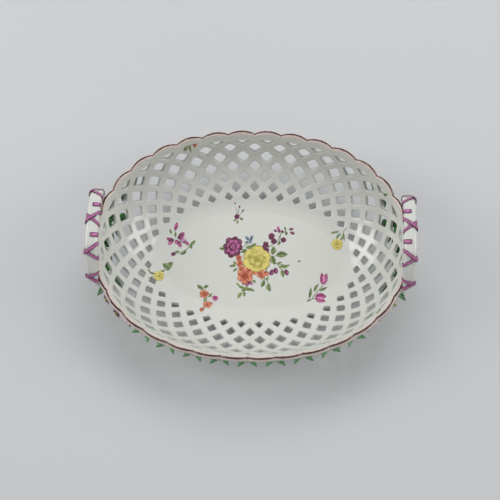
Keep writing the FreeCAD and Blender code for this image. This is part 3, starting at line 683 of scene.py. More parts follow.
class Lattice:
    """Cells of the wall between the holes, each on the inner and the outer face. The steps are shares
    along the edge of a hole, across a strap, and along a short side."""

    edge = (0.0, 0.12, 0.5, 0.88, 1.0)
    cross = (0.0, 0.25, 0.5, 0.75, 1.0)
    short = (0.0, 0.5, 1.0)
    corner_round = 0.17
    floor_rings = (1.0, 0.97, 0.9, 0.75, 0.5, 0.25)
    lobe_power = 0.8

    def __init__(self, shell, sizes):
        self.shell = shell
        self.sizes = sizes
        self.shares = {row: row_share(float(row), sizes) for row in range(1, ROWS + 2)}
        self.lowest_drop = pitch_between(1.0, 2.0) / pitch_between(0.0, 1.0)

    def share(self, row, swell=0.0):
        """Half width of a hole as a share of the pitch, widened by a swell in metres."""
        if row == 0:
            return FLOOR_SHARE
        base, per_metre, _ = self.shares[row]
        return base + per_metre * swell

    def low(self, row, swell=0.0):
        """Stage of the lower corner of a hole; the lowest row is drawn in, as the rows spread below it."""
        return row - self.share(row, swell) * (self.lowest_drop if row == 1 else 1.0)

    def top(self, swell=0.0):
        """Stage of the straight upper side of the half holes."""
        return HALF_HOLE_TOP + self.shares[ROWS + 1][2] * swell

    def at(self, u, stage, depth, **marks):
        """Point at a depth behind the inner face. The underside of the floor is flat."""
        place = WALL.point(u / ROUND, stage, depth)
        if stage <= 0 and depth > 0:
            place.z = FLOOR_Z - FLOOR_THICK
        return self.shell.add(place, **marks)

    def cell(self, bottom, right, top, left):
        """A patch between four runs of (u, stage), as a Coons patch."""
        p, q = len(bottom) - 1, len(left) - 1
        rows = []
        for j in range(q + 1):
            v = j / q
            row = []
            for i in range(p + 1):
                u = i / p
                row.append(tuple(
                    (1 - v) * bottom[i][k] + v * top[i][k] + (1 - u) * left[j][k] + u * right[j][k]
                    - (1 - u) * (1 - v) * bottom[0][k] - u * (1 - v) * bottom[-1][k]
                    - (1 - u) * v * top[0][k] - u * v * top[-1][k]
                    for k in (0, 1)
                ))
            rows.append(row)
        self.shell.grid([[self.at(a, b, 0.0) for a, b in row] for row in rows])
        self.shell.grid([[self.at(a, b, self.sizes.wall) for a, b in reversed(row)] for row in rows])

    def straps(self, u, row):
        """The two straps that rise from a hole to the next row."""
        r = self.sizes.edge_round
        s, t = self.share(row, r), self.share(row + 1, r)
        edge, cross, low = self.edge, self.cross, self.low(row + 1, r)
        top, side, next_side, next_low = (u, row + s), (u + s, row), (u + 1 - t, row + 1), (u + 1, low)
        self.cell(run_between(top, side, edge), run_between(side, next_low, cross),
                  run_between(next_side, next_low, edge), run_between(top, next_side, cross))
        side, next_side, next_low = (u - s, row), (u - 1 + t, row + 1), (u - 1, low)
        self.cell(run_between(side, top, edge), run_between(top, next_side, cross),
                  run_between(next_low, next_side, edge), run_between(side, next_low, cross))

    def crossing(self, u, row):
        """The crossing of two straps, between four holes."""
        r = self.sizes.edge_round
        s = self.share(row, r)
        west, east = (u - 1 + s, row), (u + 1 - s, row)
        south = (u, row - 1 + self.share(row - 1, r)) if row else (u, 0)
        north = (u, self.low(row + 1, r)) if row <= ROWS else (u, row)
        self.cell(run_between(west, south, self.cross), run_between(south, east, self.cross),
                  run_between(north, east, self.cross), run_between(west, north, self.cross))

    def below(self, u):
        """The solid triangle between two straps at the edge of the floor."""
        s = self.share(0)
        left, middle, right, top = (u - s, 0), (u, 0), (u + s, 0), (u, s)
        self.cell(run_between(left, middle, self.edge), run_between(middle, right, self.edge),
                  run_between(top, right, self.edge), run_between(left, top, self.edge))

    def outline(self, u, row, swell, round_off):
        """Outline of a hole, anticlockwise from its lowest corner, with its corners rounded off."""
        s = self.share(row, swell)
        low, right, left = (u, self.low(row, swell)), (u + s, row), (u - s, row)
        if row <= ROWS:
            corners = (low, right, (u, row + s), left, low)
            sides = [(start, end, self.edge) for start, end in zip(corners, corners[1:])]
        else:
            top = self.top(swell)
            inset = s - (top - row)
            top_right, top_left = (u + inset, top), (u - inset, top)
            sides = [(low, right, self.edge), (right, top_right, self.short), (top_right, top_left, self.cross),
                     (top_left, left, self.short), (left, low, self.edge)]
        ring = []
        for start, end, steps in sides:
            points = run_between(start, end, steps[:-1])
            points[0] = (u + (points[0][0] - u) * (1 - round_off), row + (points[0][1] - row) * (1 - round_off))
            ring += points
        return ring

    def hole(self, u, row):
        """The sides of a hole, rounded over to both faces as the glaze leaves them."""
        r, wall = self.sizes.edge_round, self.sizes.wall
        angles = (0.0, math.pi / 6, math.pi / 3, math.pi / 2)
        lips = [(r * (1 - math.sin(a)), r * (1 - math.cos(a))) for a in angles]
        levels = lips + [(0.0, wall / 2)] + [(swell, wall - depth) for swell, depth in reversed(lips)]
        rows = []
        for swell, depth in levels:
            ease = 1 - swell / r
            ring = self.outline(u, row, swell, self.corner_round * ease)
            # The hole sides are marked most at mid-wall, where they turn greener and darker: pooled glaze with
            # painted shade
            rows.append([self.at(a, b, depth, well=ease ** 2) for a, b in ring])
        self.shell.grid(rows, closed=True)

    def plain(self, u, row):
        """A lobe left unpierced."""
        ring = self.outline(u, row, self.sizes.edge_round, 0.0)
        for depth in (0.0, self.sizes.wall):
            middle = self.at(u, row - 0.2, depth)
            edge = [self.at(a, b, depth) for a, b in ring]
            for i, first in enumerate(edge):
                self.shell.faces.append((first, edge[(i + 1) % len(edge)], middle))

    def under_rim(self, u):
        """The band above a row of half holes: over the hole at u, and over the crossing after it."""
        row, r = ROWS + 1, self.sizes.edge_round
        s, top = self.share(row, r), self.top(r)
        inset = s - (top - row)
        cross, short = self.cross, self.short
        low_left, low_right = (u - inset, top), (u + inset, top)
        high_left, high_right = (u - inset, TOP_STAGE), (u + inset, TOP_STAGE)
        crown = run_between(high_left, high_right, cross)
        self.cell(run_between(low_left, low_right, cross), run_between(low_right, high_right, short),
                  crown, run_between(low_left, high_left, short))
        right, left, next_left = (u + s, row), (u + 2 - s, row), u + 2 - inset
        bottom = bent(right, (u + 1, row), left, cross)
        rim = bent(high_right, (u + 1, TOP_STAGE), (next_left, TOP_STAGE), cross)
        rise = bent(right, low_right, high_right, short)
        fall = bent(left, (next_left, top), (next_left, TOP_STAGE), short)
        self.cell(bottom, fall, rim, rise)
        return [a for a, b in crown[:-1] + rim[:-1]]

    # The rolled rim from the inner to the outer face: millimetres out from the inner face of a wall
    # of roll_wall, and shares of its reach. The line lies round line_at and only above line_from.
    roll = (
        (0.0, 0.0), (-0.12, 0.3), (-0.2, 0.55), (-0.05, 0.78), (0.3, 0.9), (0.8, 0.975), (1.5, 1.0), (2.3, 0.985),
        (3.1, 0.93), (3.9, 0.83), (4.5, 0.68), (4.7, 0.5), (4.45, 0.26), (4.0, 0.0),
    )
    roll_wall = 4
    line_at, line_wide, line_from = 1.25, 3.7, 0.7

    def rim(self, columns):
        """The rolled rim in shallow lobes, from the inner face over the crest to the outer face."""
        rows = [[] for _ in self.roll]
        for u in columns:
            base, _, up, out = WALL.place(u / ROUND, TOP_STAGE)
            lobe = abs(math.sin(math.pi * HOLES * u / ROUND)) ** self.lobe_power
            reach = self.sizes.lip + self.sizes.lobe_rise * lobe
            for row, (across, share) in zip(rows, self.roll):
                place = base + out * (self.sizes.wall * across / self.roll_wall) + up * (reach * share)
                near = max(0.0, 1 - abs(across - self.line_at) / self.line_wide)
                row.append(self.shell.add(place, crest=near if share > self.line_from else 0.0))
        self.shell.grid(rows, closed=True)

    def floor(self):
        """The flat floor and its underside."""
        outline = []
        s = self.share(0)
        for u in range(0, ROUND, 2):
            for start, end, steps in (
                (u - s, u, self.edge), (u, u + s, self.edge),
                (u + s, u + 1, self.cross), (u + 1, u + 2 - s, self.cross),
            ):
                outline += run_between((start, 0), (end, 0), steps)[:-1]
        for depth in (0.0, self.sizes.wall):
            edge = [WALL.point(a / ROUND, 0.0, depth) for a, b in outline]
            level = FLOOR_Z if depth == 0 else FLOOR_Z - FLOOR_THICK
            rings = [[self.shell.add(Vector((p.x * f, p.y * f, level))) for p in edge] for f in self.floor_rings]
            self.shell.grid(rings, closed=True)
            middle = self.shell.add(Vector((0, 0, level)))
            for first, second in zip(rings[-1], rings[-1][1:] + rings[-1][:1]):
                self.shell.faces.append((first, second, middle))


def pierced_bowl(sizes, colours):
    shell = Shell("crest", "well")
    lattice = Lattice(shell, sizes)
    columns = []
    for row in range(ROWS + 2):
        for u in range(ROUND):
            if (u + row) % 2:
                lattice.crossing(u, row)
                continue
            if row == 0:
                lattice.below(u)
            elif row > ROWS and u == PLAIN_LOBE:
                lattice.plain(u, row)
            else:
                lattice.hole(u, row)
            if row <= ROWS:
                lattice.straps(u, row)
            else:
                columns += lattice.under_rim(u)
    lattice.rim(columns)
    lattice.floor()
    return shell.piece("pierced_bowl", finish_named("glazed_porcelain", colours))


def foot_rim(sizes, colours):
    """The turned foot ring, rounded where it stands and run into the floor above."""
    wide, high = sizes.foot_width, FLOOR_Z - FLOOR_THICK + FOOT_BITE
    profile = [(wide, high), (wide, 0.4 * high)]
    profile += [(wide - across * MM, level * MM) for across, level in FOOT_CORNER]
    profile += [(across * MM, level * MM) for across, level in reversed(FOOT_CORNER)]
    profile += [(0.0, 0.4 * high), (0.0, high)]
    shell = Shell()
    rows = []
    for inset, level in profile:
        half = (FOOT_HALF[0] - inset, FOOT_HALF[1] - inset)
        table = quarter(*half, 48)
        ring = [on_quarter(table, *half, i / FOOT_COUNT)[0] for i in range(FOOT_COUNT)]
        rows.append([shell.add(p + Vector((0, 0, level))) for p in ring])
    shell.grid(rows + rows[:1], closed=True)
    return shell.piece("foot_rim", finish_named("foot_porcelain", colours))


# Handles and their ribbons


def squared(value):
    return math.copysign(abs(value) ** SQUARENESS, value)


def flute(x):
    """Share of a flute's depth at a place across the band, from -1 to 1."""
    return (1 - math.cos(FLUTES * math.pi * x)) / 2


class Band:
    """The fluted band of one handle along its path, with places round it. Side is 1 at +X and -1 at -X."""

    twist = 0.27  # share of the length, from each foot, over which the band turns flat against the wall

    def __init__(self, sizes, side):
        self.sizes = sizes
        self.side = side
        low, high = 0.0, 0.25
        for _ in range(40):
            middle = (low + high) / 2
            wide = WALL.point(middle, TOP_STAGE, 0.0).y > HANDLE_HALF_SPAN
            low, high = (middle, high) if wide else (low, middle)
        self.foot_turn = low
        crest = section(TOP_STAGE)
        rim_z = crest[2] + sizes.lip
        outset = JOINT_GAP + HANDLE_THICK * (1 - FOOT_THINNING) / 2
        foot = WALL.point(low, HANDLE_FOOT_STAGE, sizes.wall + outset)
        knee = WALL.point(low, HANDLE_KNEE_STAGE, sizes.wall + outset + KNEE_OUT)
        point, self.normal = on_quarter(quarter(crest[0], crest[1]), crest[0], crest[1], low)
        beside = point + self.normal * (sizes.wall + sizes.lip + outset) + Vector((0, 0, rim_z))
        middle_x = crest[0] + sizes.lip + HANDLE_OUTSET
        span, rise = ARCH_SHOULDER
        shoulder = Vector(((beside.x + middle_x) / 2, HANDLE_HALF_SPAN * span, rim_z + HANDLE_RISE * rise))
        span, rise = ARCH_UPPER
        upper = Vector((middle_x, HANDLE_HALF_SPAN * span, rim_z + HANDLE_RISE * rise))
        crown = Vector((middle_x, 0, rim_z + HANDLE_RISE))
        back_leg = [beside, knee, foot]
        front_leg = [Vector((p.x, -p.y, p.z)) for p in reversed(back_leg)]
        arch = [Vector((p.x, -p.y, p.z)) for p in (shoulder, upper)] + [crown, upper, shoulder]
        path = front_leg + [p + Vector((0, HANDLE_LEAN, 0)) for p in arch] + back_leg
        self.places, self.ways, self.length = spline(path, 800)

    def frame(self, share):
        at = min(max(share, 0.0), 1.0) * (len(self.places) - 1)
        low = min(int(at), len(self.places) - 2)
        middle = Vector(self.places[low]).lerp(Vector(self.places[low + 1]), at - low)
        along = Vector(self.ways[low]).lerp(Vector(self.ways[low + 1]), at - low).normalized()
        ease = max(0.0, 1 - min(share, 1 - share) / self.twist)
        ease = ease * ease * (3 - 2 * ease)
        level = Vector((self.normal.y, self.normal.x if share < 0.5 else -self.normal.x, 0))
        across = Vector((1, 0, 0)) * (1 - ease) + level * ease
        across = (across - along * across.dot(along)).normalized()
        return middle, along, across, along.cross(across)

    def point(self, share, angle, lift):
        """Point round the band, lifted off its surface."""
        middle, along, across, inward = self.frame(share)
        end = max(0.0, 1 - min(share, 1 - share) / self.twist)
        width = self.sizes.handle_width + (self.sizes.handle_end_width - self.sizes.handle_width) * end
        thick = HANDLE_THICK * (1 - FOOT_THINNING * end)
        x, y = squared(math.cos(angle)), squared(math.sin(angle))
        groove = self.sizes.flute * flute(x) * abs(y)
        depth = thick / 2 + lift - (groove if lift <= 0 else 0.0)
        place = middle + across * (x * (width / 2 + lift)) + inward * (y * depth)
        return Vector((place.x * self.side, place.y, place.z))


def handle_band(band, name, colours):
    """A handle: a flat, squarish band with three flutes, its feet rounded off against the wall."""
    shell = Shell("well")
    around, rows = 64, []
    shares = [0.0, 0.004, HANDLE_ROUND] + [k / 90 for k in range(2, 89)] + [0.988, 0.996, 1.0]
    for share in shares:
        shrink, end = 1.0, min(share, 1 - share)
        if end <= HANDLE_ROUND:
            arc = math.sqrt(max(0.0, 1 - (1 - end / HANDLE_ROUND) ** 2))
            shrink = HANDLE_BLUNT + (1 - HANDLE_BLUNT) * arc
        middle = band.frame(share)[0]
        middle = Vector((middle.x * band.side, middle.y, middle.z))
        ring = []
        for i in range(around):
            angle = 2 * math.pi * i / around
            place = middle.lerp(band.point(share, angle, 0.0), shrink)
            # The flute hollows take the same mark: pooled glaze with painted shade
            hollow = flute(squared(math.cos(angle))) * abs(math.sin(angle))
            ring.append(shell.add(place, well=0.45 * hollow ** 2))
        rows.append(ring)
    shell.grid(rows, closed=True)
    shell.cap(rows[0])
    shell.cap(rows[-1])
    return shell.piece(name, finish_named("glazed_porcelain", colours))


def ribbon(band, name, colours):
    """The puce ribbon: four crossings of two slanting loops, with two short bars between them. The
    second loop of a crossing steps over the first one. The wash is deep along the edges."""
    sizes = band.sizes
    shell = Shell("wash")
    base, high, around = JOINT_GAP / 2, sizes.ribbon_rise, 96
    for station, offset, degrees in CROSSINGS:
        slant = math.radians(degrees)
        near = sizes.ribbon / math.sin(slant) / sizes.handle_width * 1.25
        half = sizes.ribbon / 2 / band.length / math.cos(slant)
        for turn in (1, -1):
            rows = []
            for i in range(around):
                angle = 2 * math.pi * i / around
                x = squared(math.cos(angle))
                place = station + math.tan(slant) * turn * sizes.handle_width / 2 * (x - offset) / band.length
                lift = base
                if turn < 0:
                    lift += (high + JOINT_GAP) * max(0.0, 1 - max(0.0, abs(x - offset) / near - 1))
                row = []
                for side, level in RIBBON_PROFILE:
                    # Pale along the middle of the ribbon's crest, deep at its edges: thinner enamel with a
                    # painted highlight
                    wash = 0.65 * max(0.0, 1 - (abs(side) / 0.8) ** 3) if level else 0.0
                    point = band.point(place + half * side, angle, lift + high * level)
                    row.append(shell.add(point, wash=wash))
                rows.append(row)
            shell.grid([row + row[:1] for row in rows] + [rows[0] + rows[0][:1]])
    half = BAR_HALF / band.length
    across = [-1 + 2 * BAR_REACH / sizes.handle_width * k / 10 for k in range(11)]
    middle, reach = (across[0] + across[-1]) / 2, (across[-1] - across[0]) / 2
    for station in BARS:
        rows = []
        for x in across:
            x = max(x, -0.97)
            angle = -math.acos(math.copysign(abs(x) ** (1 / SQUARENESS), x))
            end = abs(x - middle) / reach
            row = []
            for side, level in RIBBON_PROFILE:
                # The bars are palest in their middle: thinner enamel with a painted highlight
                wash = 0.75 * max(0.0, 1 - (max(abs(side), end) / 0.85) ** 4) if level else 0.0
                row.append(shell.add(band.point(station + half * side, angle, base + high * level), wash=wash))
            rows.append(row)
        shell.grid([row + row[:1] for row in rows])
        shell.cap(rows[0])
        shell.cap(rows[-1])
    return shell.piece(name, finish_named("puce_enamel", colours))


# Applied flowers and leaves


def new_tree(name, sockets, result):
    """A Geometry Nodes tree with its inputs, and the node that gives them."""
    tree = bpy.data.node_groups.new(name, "GeometryNodeTree")
    for label, kind, value in sockets:
        socket = tree.interface.new_socket(label, in_out="INPUT", socket_type="NodeSocket" + kind)
        if value is not None:
            socket.default_value = value
    tree.interface.new_socket(result, in_out="OUTPUT", socket_type="NodeSocketGeometry")
    return tree, add_node(tree, "NodeGroupInput")


def set_copies(tree, given, turn, **inputs):
    """Copies on points, turned by a vector of angles, made real and given the finish."""
    turned = add_node(tree, "FunctionNodeEulerToRotation", i0=turn).outputs[0]
    copies = add_node(tree, "GeometryNodeInstanceOnPoints", Rotation=turned, **inputs)
    real = add_node(tree, "GeometryNodeRealizeInstances", i0=copies.outputs[0])
    done = add_node(tree, "GeometryNodeSetMaterial", Geometry=real.outputs[0], Material=given.outputs["Finish"])
    add_node(tree, "NodeGroupOutput", i0=done.outputs[0])


def seating_tree():
    """Sets copies of one shape on seats. Each seat is a point with a turn and a size of its own."""
    tree, given = new_tree("seat_shapes", (
        ("Seats", "Geometry", None), ("Shape", "Object", None), ("Size", "Float", 1.0),
        ("Size Variation", "Float", 0.06), ("Finish", "Material", None),
    ), "Shapes")
    low = maths(tree, "SUBTRACT", 1.0, given.outputs["Size Variation"])
    vary = add_node(tree, "FunctionNodeRandomValue", {"data_type": "FLOAT"}, i2=low, i3=1.0, Seed=7)
    own = add_node(tree, "GeometryNodeInputNamedAttribute", {"data_type": "FLOAT"}, Name="seat_size")
    size = maths(tree, "MULTIPLY", given.outputs["Size"], own.outputs[0])
    size = maths(tree, "MULTIPLY", size, vary.outputs[1])
    turn = add_node(tree, "GeometryNodeInputNamedAttribute", {"data_type": "FLOAT_VECTOR"}, Name="seat_turn")
    shape = add_node(tree, "GeometryNodeObjectInfo", i0=given.outputs["Shape"])
    set_copies(tree, given, turn.outputs[0], Points=given.outputs["Seats"],
               Instance=shape.outputs["Geometry"], Scale=size)
    return tree


def ring_tree():
    """Sets petals round a middle, evenly turned about it."""
    tree, given = new_tree("ring_of_petals", (
        ("Petal", "Geometry", None), ("Count", "Int", 5), ("Finish", "Material", None),
    ), "Flower")
    middle = add_node(tree, "GeometryNodePoints", Count=given.outputs["Count"])
    index = add_node(tree, "GeometryNodeInputIndex")
    part = maths(tree, "DIVIDE", index.outputs[0], given.outputs["Count"])
    turn = add_node(tree, "ShaderNodeCombineXYZ", Z=maths(tree, "MULTIPLY", part, math.tau))
    set_copies(tree, given, turn.outputs[0], Points=middle.outputs[0], Instance=given.outputs["Petal"])
    return tree


def grown(carrier, tree, name, **inputs):
    """The plain mesh that a tree makes on a carrier, which is then removed."""
    modifier = carrier.modifiers.new("grow", "NODES")
    modifier.node_group = tree
    for item in tree.interface.items_tree:
        if item.in_out == "INPUT" and item.name.replace(" ", "_").lower() in inputs:
            modifier[item.identifier] = inputs[item.name.replace(" ", "_").lower()]
    bpy.context.view_layer.update()
    made = carrier.evaluated_get(bpy.context.evaluated_depsgraph_get())
    mesh = bpy.data.meshes.new_from_object(made)
    carrier.modifiers.remove(modifier)
    bpy.data.objects.remove(carrier)
    if not len(mesh.polygons):
        raise RuntimeError(f"{name} came out empty")
    mesh.name = name
    for polygon in mesh.polygons:
        polygon.use_smooth = True
    return mesh


def seated(name, seats, shape, size, variation, finish):
    """Copies of a shape on seats, each (place, across, tip, out, size)."""
    mesh = bpy.data.meshes.new(name + "_seats")
    mesh.from_pydata([s[0] for s in seats], [], [])
    turns = mesh.attributes.new("seat_turn", "FLOAT_VECTOR", "POINT")
    for i, (_, across, tip, out, _) in enumerate(seats):
        turns.data[i].vector = Matrix((across, tip, out)).transposed().to_euler()
    # In a loop of its own, as making the second attribute moves the first
    own = mesh.attributes.new("seat_size", "FLOAT", "POINT")
    for i, one in enumerate(seats):
        own.data[i].value = one[4]
    carrier = new_piece(name + "_carrier", mesh, finish)
    tree = bpy.data.node_groups.get("seat_shapes") or seating_tree()
    made = grown(carrier, tree, name, shape=shape, size=size, size_variation=variation, finish=finish)
    return new_piece(name, made, finish)


def lens(shell, outline, top, bottom, marks):
    """A closed thin form: a grid of top points over the same grid of bottom points."""
    rows_top, rows_low = [], []
    for j, row in enumerate(outline):
        edge_row = j in (0, len(outline) - 1)
        rows_top.append([shell.add(top(a, b), **marks(a, b)) for a, b in row])
        rows_low.append([
            rows_top[-1][i] if edge_row or i in (0, len(row) - 1) else shell.add(bottom(a, b), **marks(a, b))
            for i, (a, b) in enumerate(row)
        ])
    shell.grid(rows_top)
    shell.grid([list(reversed(row)) for row in rows_low])


def petal_shape(radius, height, width_share, finish, along=7, across=6):
    """One petal of a flower of that radius, from its middle out along +Y, cupped and with a curled edge."""
    shell = Shell("wash", "tint")
    grid = [[(i / across * 2 - 1, j / along) for i in range(across + 1)] for j in range(along + 1)]

    def half(v):
        return radius * width_share * (0.16 + 0.84 * math.sin(math.pi * min(1.0, 0.06 + 0.82 * v)) ** 0.8)

    def top(a, b):
        x = half(b) * a * (1.0 if b < 0.999 else 0.8)
        y = radius * (0.14 + 0.86 * b - 0.07 * a * a * b + (0.03 if abs(a) > 0.2 else -0.04) * b)
        z = height * (0.3 + 0.12 * b + 0.26 * b ** 3 + 0.12 * a * a * math.sin(math.pi * min(b + 0.1, 1)))
        return Vector((x, y, z))

    def bottom(a, b):
        return top(a, b) - Vector((0, 0, 0.16 * height * (1 - 0.6 * b) * (1 - a * a)))

    def marks(a, b):
        return {"wash": 0.9, "tint": min(1.0, 0.9 * max(abs(a) * math.sqrt(b), b - 0.25) ** 4)}

    lens(shell, grid, top, bottom, marks)
    return shell.piece("petal", finish, merge=0.0005 * MM)


def heart_shape(radius, height, root, finish):
    """The stub that holds a flower to the wall, with its beaded heart on top."""
    shell = Shell("wash", "tint")
    profile = (
        (0.3, -0.05 - root), (0.34, 0.1), (0.28, 0.25), (0.2, 0.34),
        (0.24, 0.5), (0.26, 0.75), (0.2, 0.95), (0.1, 1.02),
    )
    rows = []
    for reach, rise in profile:
        ring = []
        for i in range(12):
            bead = 1 + (0.12 if i % 2 else -0.02) * (1 if rise > 0.4 else 0)
            angle, out = math.tau * i / 12, radius * reach * bead
            place = Vector((out * math.cos(angle), out * math.sin(angle), height * rise))
            ring.append(shell.add(place, wash=0.9 if i % 2 else 0.35))
        rows.append(ring)
    shell.grid(rows, closed=True)
    shell.cap(rows[0])
    shell.cap(rows[-1])
    return shell.piece("heart", finish)


def leaf_shape(finish, curl, thick=0.1, long=14, wide=8, broad=0.275):
    """A pointed leaf one metre long that curls away towards its tip, with a sunk midrib, raised veins
    and a toothed edge."""
    shell = Shell("wash", "tint")
    grid = [[(i / wide * 2 - 1, j / long) for i in range(wide + 1)] for j in range(long + 1)]

    def half(v):
        tooth = 1 + 0.07 * (abs((v * 7) % 1 - 0.5) * 2 - 0.5) * (1 if 0.08 < v < 0.94 else 0)
        return broad * (0.06 + 0.94 * math.sin(math.pi * v ** 0.8) ** 0.9) * tooth

    def vein(a, b):
        return 0.5 + 0.5 * math.cos(math.tau * (5.5 * b - 1.6 * abs(a)))

    def top(a, b):
        swell = thick * (0.45 + 0.55 * math.sin(math.pi * b))
        rise = (1 - a ** 4) * (0.78 + 0.22 * vein(a, b)) - 0.42 * math.exp(-((a / 0.16) ** 2))
        return Vector((half(b) * a + 0.025 * math.sin(3 * b), b, curl * b * b + swell * rise))

    def bottom(a, b):
        return Vector((half(b) * a + 0.025 * math.sin(3 * b), b, curl * b * b - 0.012 * (1 - a * a)))

    def marks(a, b):
        shade = 0.25 + 0.55 * vein(a, b) + (0.15 if a > 0 else -0.05)
        shade = shade - 0.6 * math.exp(-((a / 0.14) ** 2)) - 0.35 * a ** 6
        return {"wash": max(0.0, shade)}

    lens(shell, grid, top, bottom, marks)
    return shell.piece("leaf", finish)


def bud_shape(radius, height, finish):
    """A closed bud lying on the wall along +Y, with its petals wrapped round it."""
    shell = Shell("wash", "tint")
    profile = [(-0.5, 0.25), (-0.4, 0.8), (-0.15, 1.08), (0.1, 1.12), (0.35, 0.86), (0.6, 0.5), (0.8, 0.14)]
    rows = []
    for along, wide in profile:
        ring = []
        for i in range(16):
            angle = math.tau * i / 16
            fold = 1 + 0.07 * math.cos(3 * angle + 5 * along)
            reach = radius * wide * fold
            ring.append(shell.add(
                Vector((reach * math.cos(angle), height * along, reach * math.sin(angle) + radius * 0.95)),
                wash=max(0.0, 0.25 + 0.5 * math.cos(3 * angle + 5 * along) + 0.3 * along),
            ))
        rows.append(ring)
    shell.grid(rows, closed=True)
    shell.cap(rows[0])
    shell.cap(rows[-1])
    return shell.piece("bud", finish)


def wall_seat(place, heading, size, wall, side=1, proud=0.0, lean=0.0):
    """Seat on the outside of the wall at (turn, stage), its tip at a heading in degrees from straight
    up, and its face leaning up from the wall by a number of degrees."""
    base, around, up, out = WALL.place(place[0], min(place[1], TOP_STAGE))
    angle, leaning = math.radians(heading), math.radians(lean)
    point = base + out * (wall + JOINT_GAP + proud)
    up, out = up * math.cos(leaning) - out * math.sin(leaning), out * math.cos(leaning) + up * math.sin(leaning)
    tip = around * math.sin(angle) + up * math.cos(angle)
    point, tip, out = (Vector((v.x * side, v.y, v.z)) for v in (point, tip, out))
    return point, tip.cross(out), tip, out, size


def set_off(place, heading, way, wall):
    """Place on the wall that lies a way off from another, at a heading in degrees."""
    angle = math.radians(heading)
    return WALL.step_along(*place, math.sin(angle) * way, math.cos(angle) * way, wall)


def stem_tube(shell, places, radius, wall, side, steps=40):
    """A rolled stem along places on the outside of the wall, thinner towards its tip."""
    points = []
    for turn, stage in places:
        base, _, _, out = WALL.place(turn, stage)
        points.append(base + out * (wall + JOINT_GAP + radius))
    line, ways, _ = spline(points, steps)
    rows = []
    for k, (middle, along) in enumerate(zip(line, ways)):
        share = k / steps
        across = Vector(along).cross(Vector((0, 0, 1))).normalized()
        above = across.cross(Vector(along))
        thick = radius * (1 - 0.35 * share) * (1 if 0 < k < steps else 0.5)
        ring = []
        for i in range(10):
            angle = math.tau * i / 10
            place = Vector(middle) + (across * math.cos(angle) + above * math.sin(angle)) * thick
            wash = 0.35 + 0.3 * math.cos(2 * angle + 9 * share)
            ring.append(shell.add(Vector((place.x * side, place.y, place.z)), wash=wash))
        rows.append(ring)
    shell.grid(rows, closed=True)
    shell.cap(rows[0])
    shell.cap(rows[-1])


class Sprays:
    """The stems, leaves, buds and blossoms at the feet of one handle."""

    stem_places = 8

    def __init__(self, sizes, side):
        self.sizes, self.side = sizes, side
        self.foot = Band(sizes, side).foot_turn
        self.stems, self.leaves, self.under, self.buds, self.blossoms = Shell("wash"), [], [], [], []

    def stem(self, places):
        stem_tube(self.stems, places, self.sizes.stem, self.sizes.wall, self.side)

    def settle(self, place, heading, size, lean=0.0, proud=0.0):
        return wall_seat(place, heading, size, self.sizes.wall, self.side, proud, lean)

    def place(self, foot, away, share, lift):
        along = away * (SPRAY_START + SPRAY_LENGTH * share)
        return WALL.step_along(foot, SPRAY_STAGE, along, lift, self.sizes.wall)

    def along_rim(self, foot, away, leaves, buds, blossoms, stem_end):
        """A spray from a foot along the rim. Away is 1 clockwise and -1 anticlockwise."""
        count = self.stem_places
        self.stem([self.place(foot, away, stem_end * k / count, 0.0) for k in range(count + 1)])
        for share, heading, scale in leaves:
            lift = (LEAF_OFF if heading < 90 else -LEAF_OFF) if share <= stem_end else 0.0
            lean = FOOT_LEAF_LEAN if share < 0 else LEAF_LEAN
            place = self.place(foot, away, share, lift)
            self.leaves.append(self.settle(place, heading * away, self.sizes.spray_leaf * scale, lean))
        for share in buds:
            self.buds.append(self.settle(self.place(foot, away, share, BUD_OFF), BUD_HEADING * away, 1.0))
        for share in blossoms:
            place = self.place(foot, away, share, BLOSSOM_OFF)
            self.blossoms.append(self.settle(place, 0, 1.0, BLOSSOM_LEAN, BLOSSOM_PROUD))

    def under_handle(self, foot, away):
        """A spray from a foot towards the middle of the end, under the handle."""
        wall, count = self.sizes.wall, self.stem_places

        def place(share):
            return WALL.step_along(foot, END_STAGE, -away * END_REACH * share, -END_DROP * share, wall)

        self.stem([place(k / count) for k in range(count + 1)])
        for share, heading, scale in END_LEAVES:
            start = LEAF_OFF if share < 1 else LEAF_OFF / 2
            seat_place = set_off(place(min(share, 1.0)), heading * away, start, wall)
            size = self.sizes.end_leaf * scale
            self.under.append(self.settle(seat_place, heading * away, size, UNDER_LEAF_LEAN))


def flower_parts(name, seats, radius, height, root, count, width_share, petal_finish, heart_finish):
    """Petals and hearts of like flowers, as two pieces."""
    petal = petal_shape(radius, height, width_share, petal_finish)
    tree = bpy.data.node_groups.get("ring_of_petals") or ring_tree()
    ring = new_piece("ring", grown(petal, tree, "ring", count=count, finish=petal_finish), petal_finish)
    heart = heart_shape(radius, height, root, heart_finish)
    made = [
        seated(name + "_petals", seats, ring, 1.0, 0.04, petal_finish),
        seated(name + "_hearts", seats, heart, 1.0, 0.0, heart_finish),
    ]
    for shape in (ring, heart):
        bpy.data.objects.remove(shape)
    return made


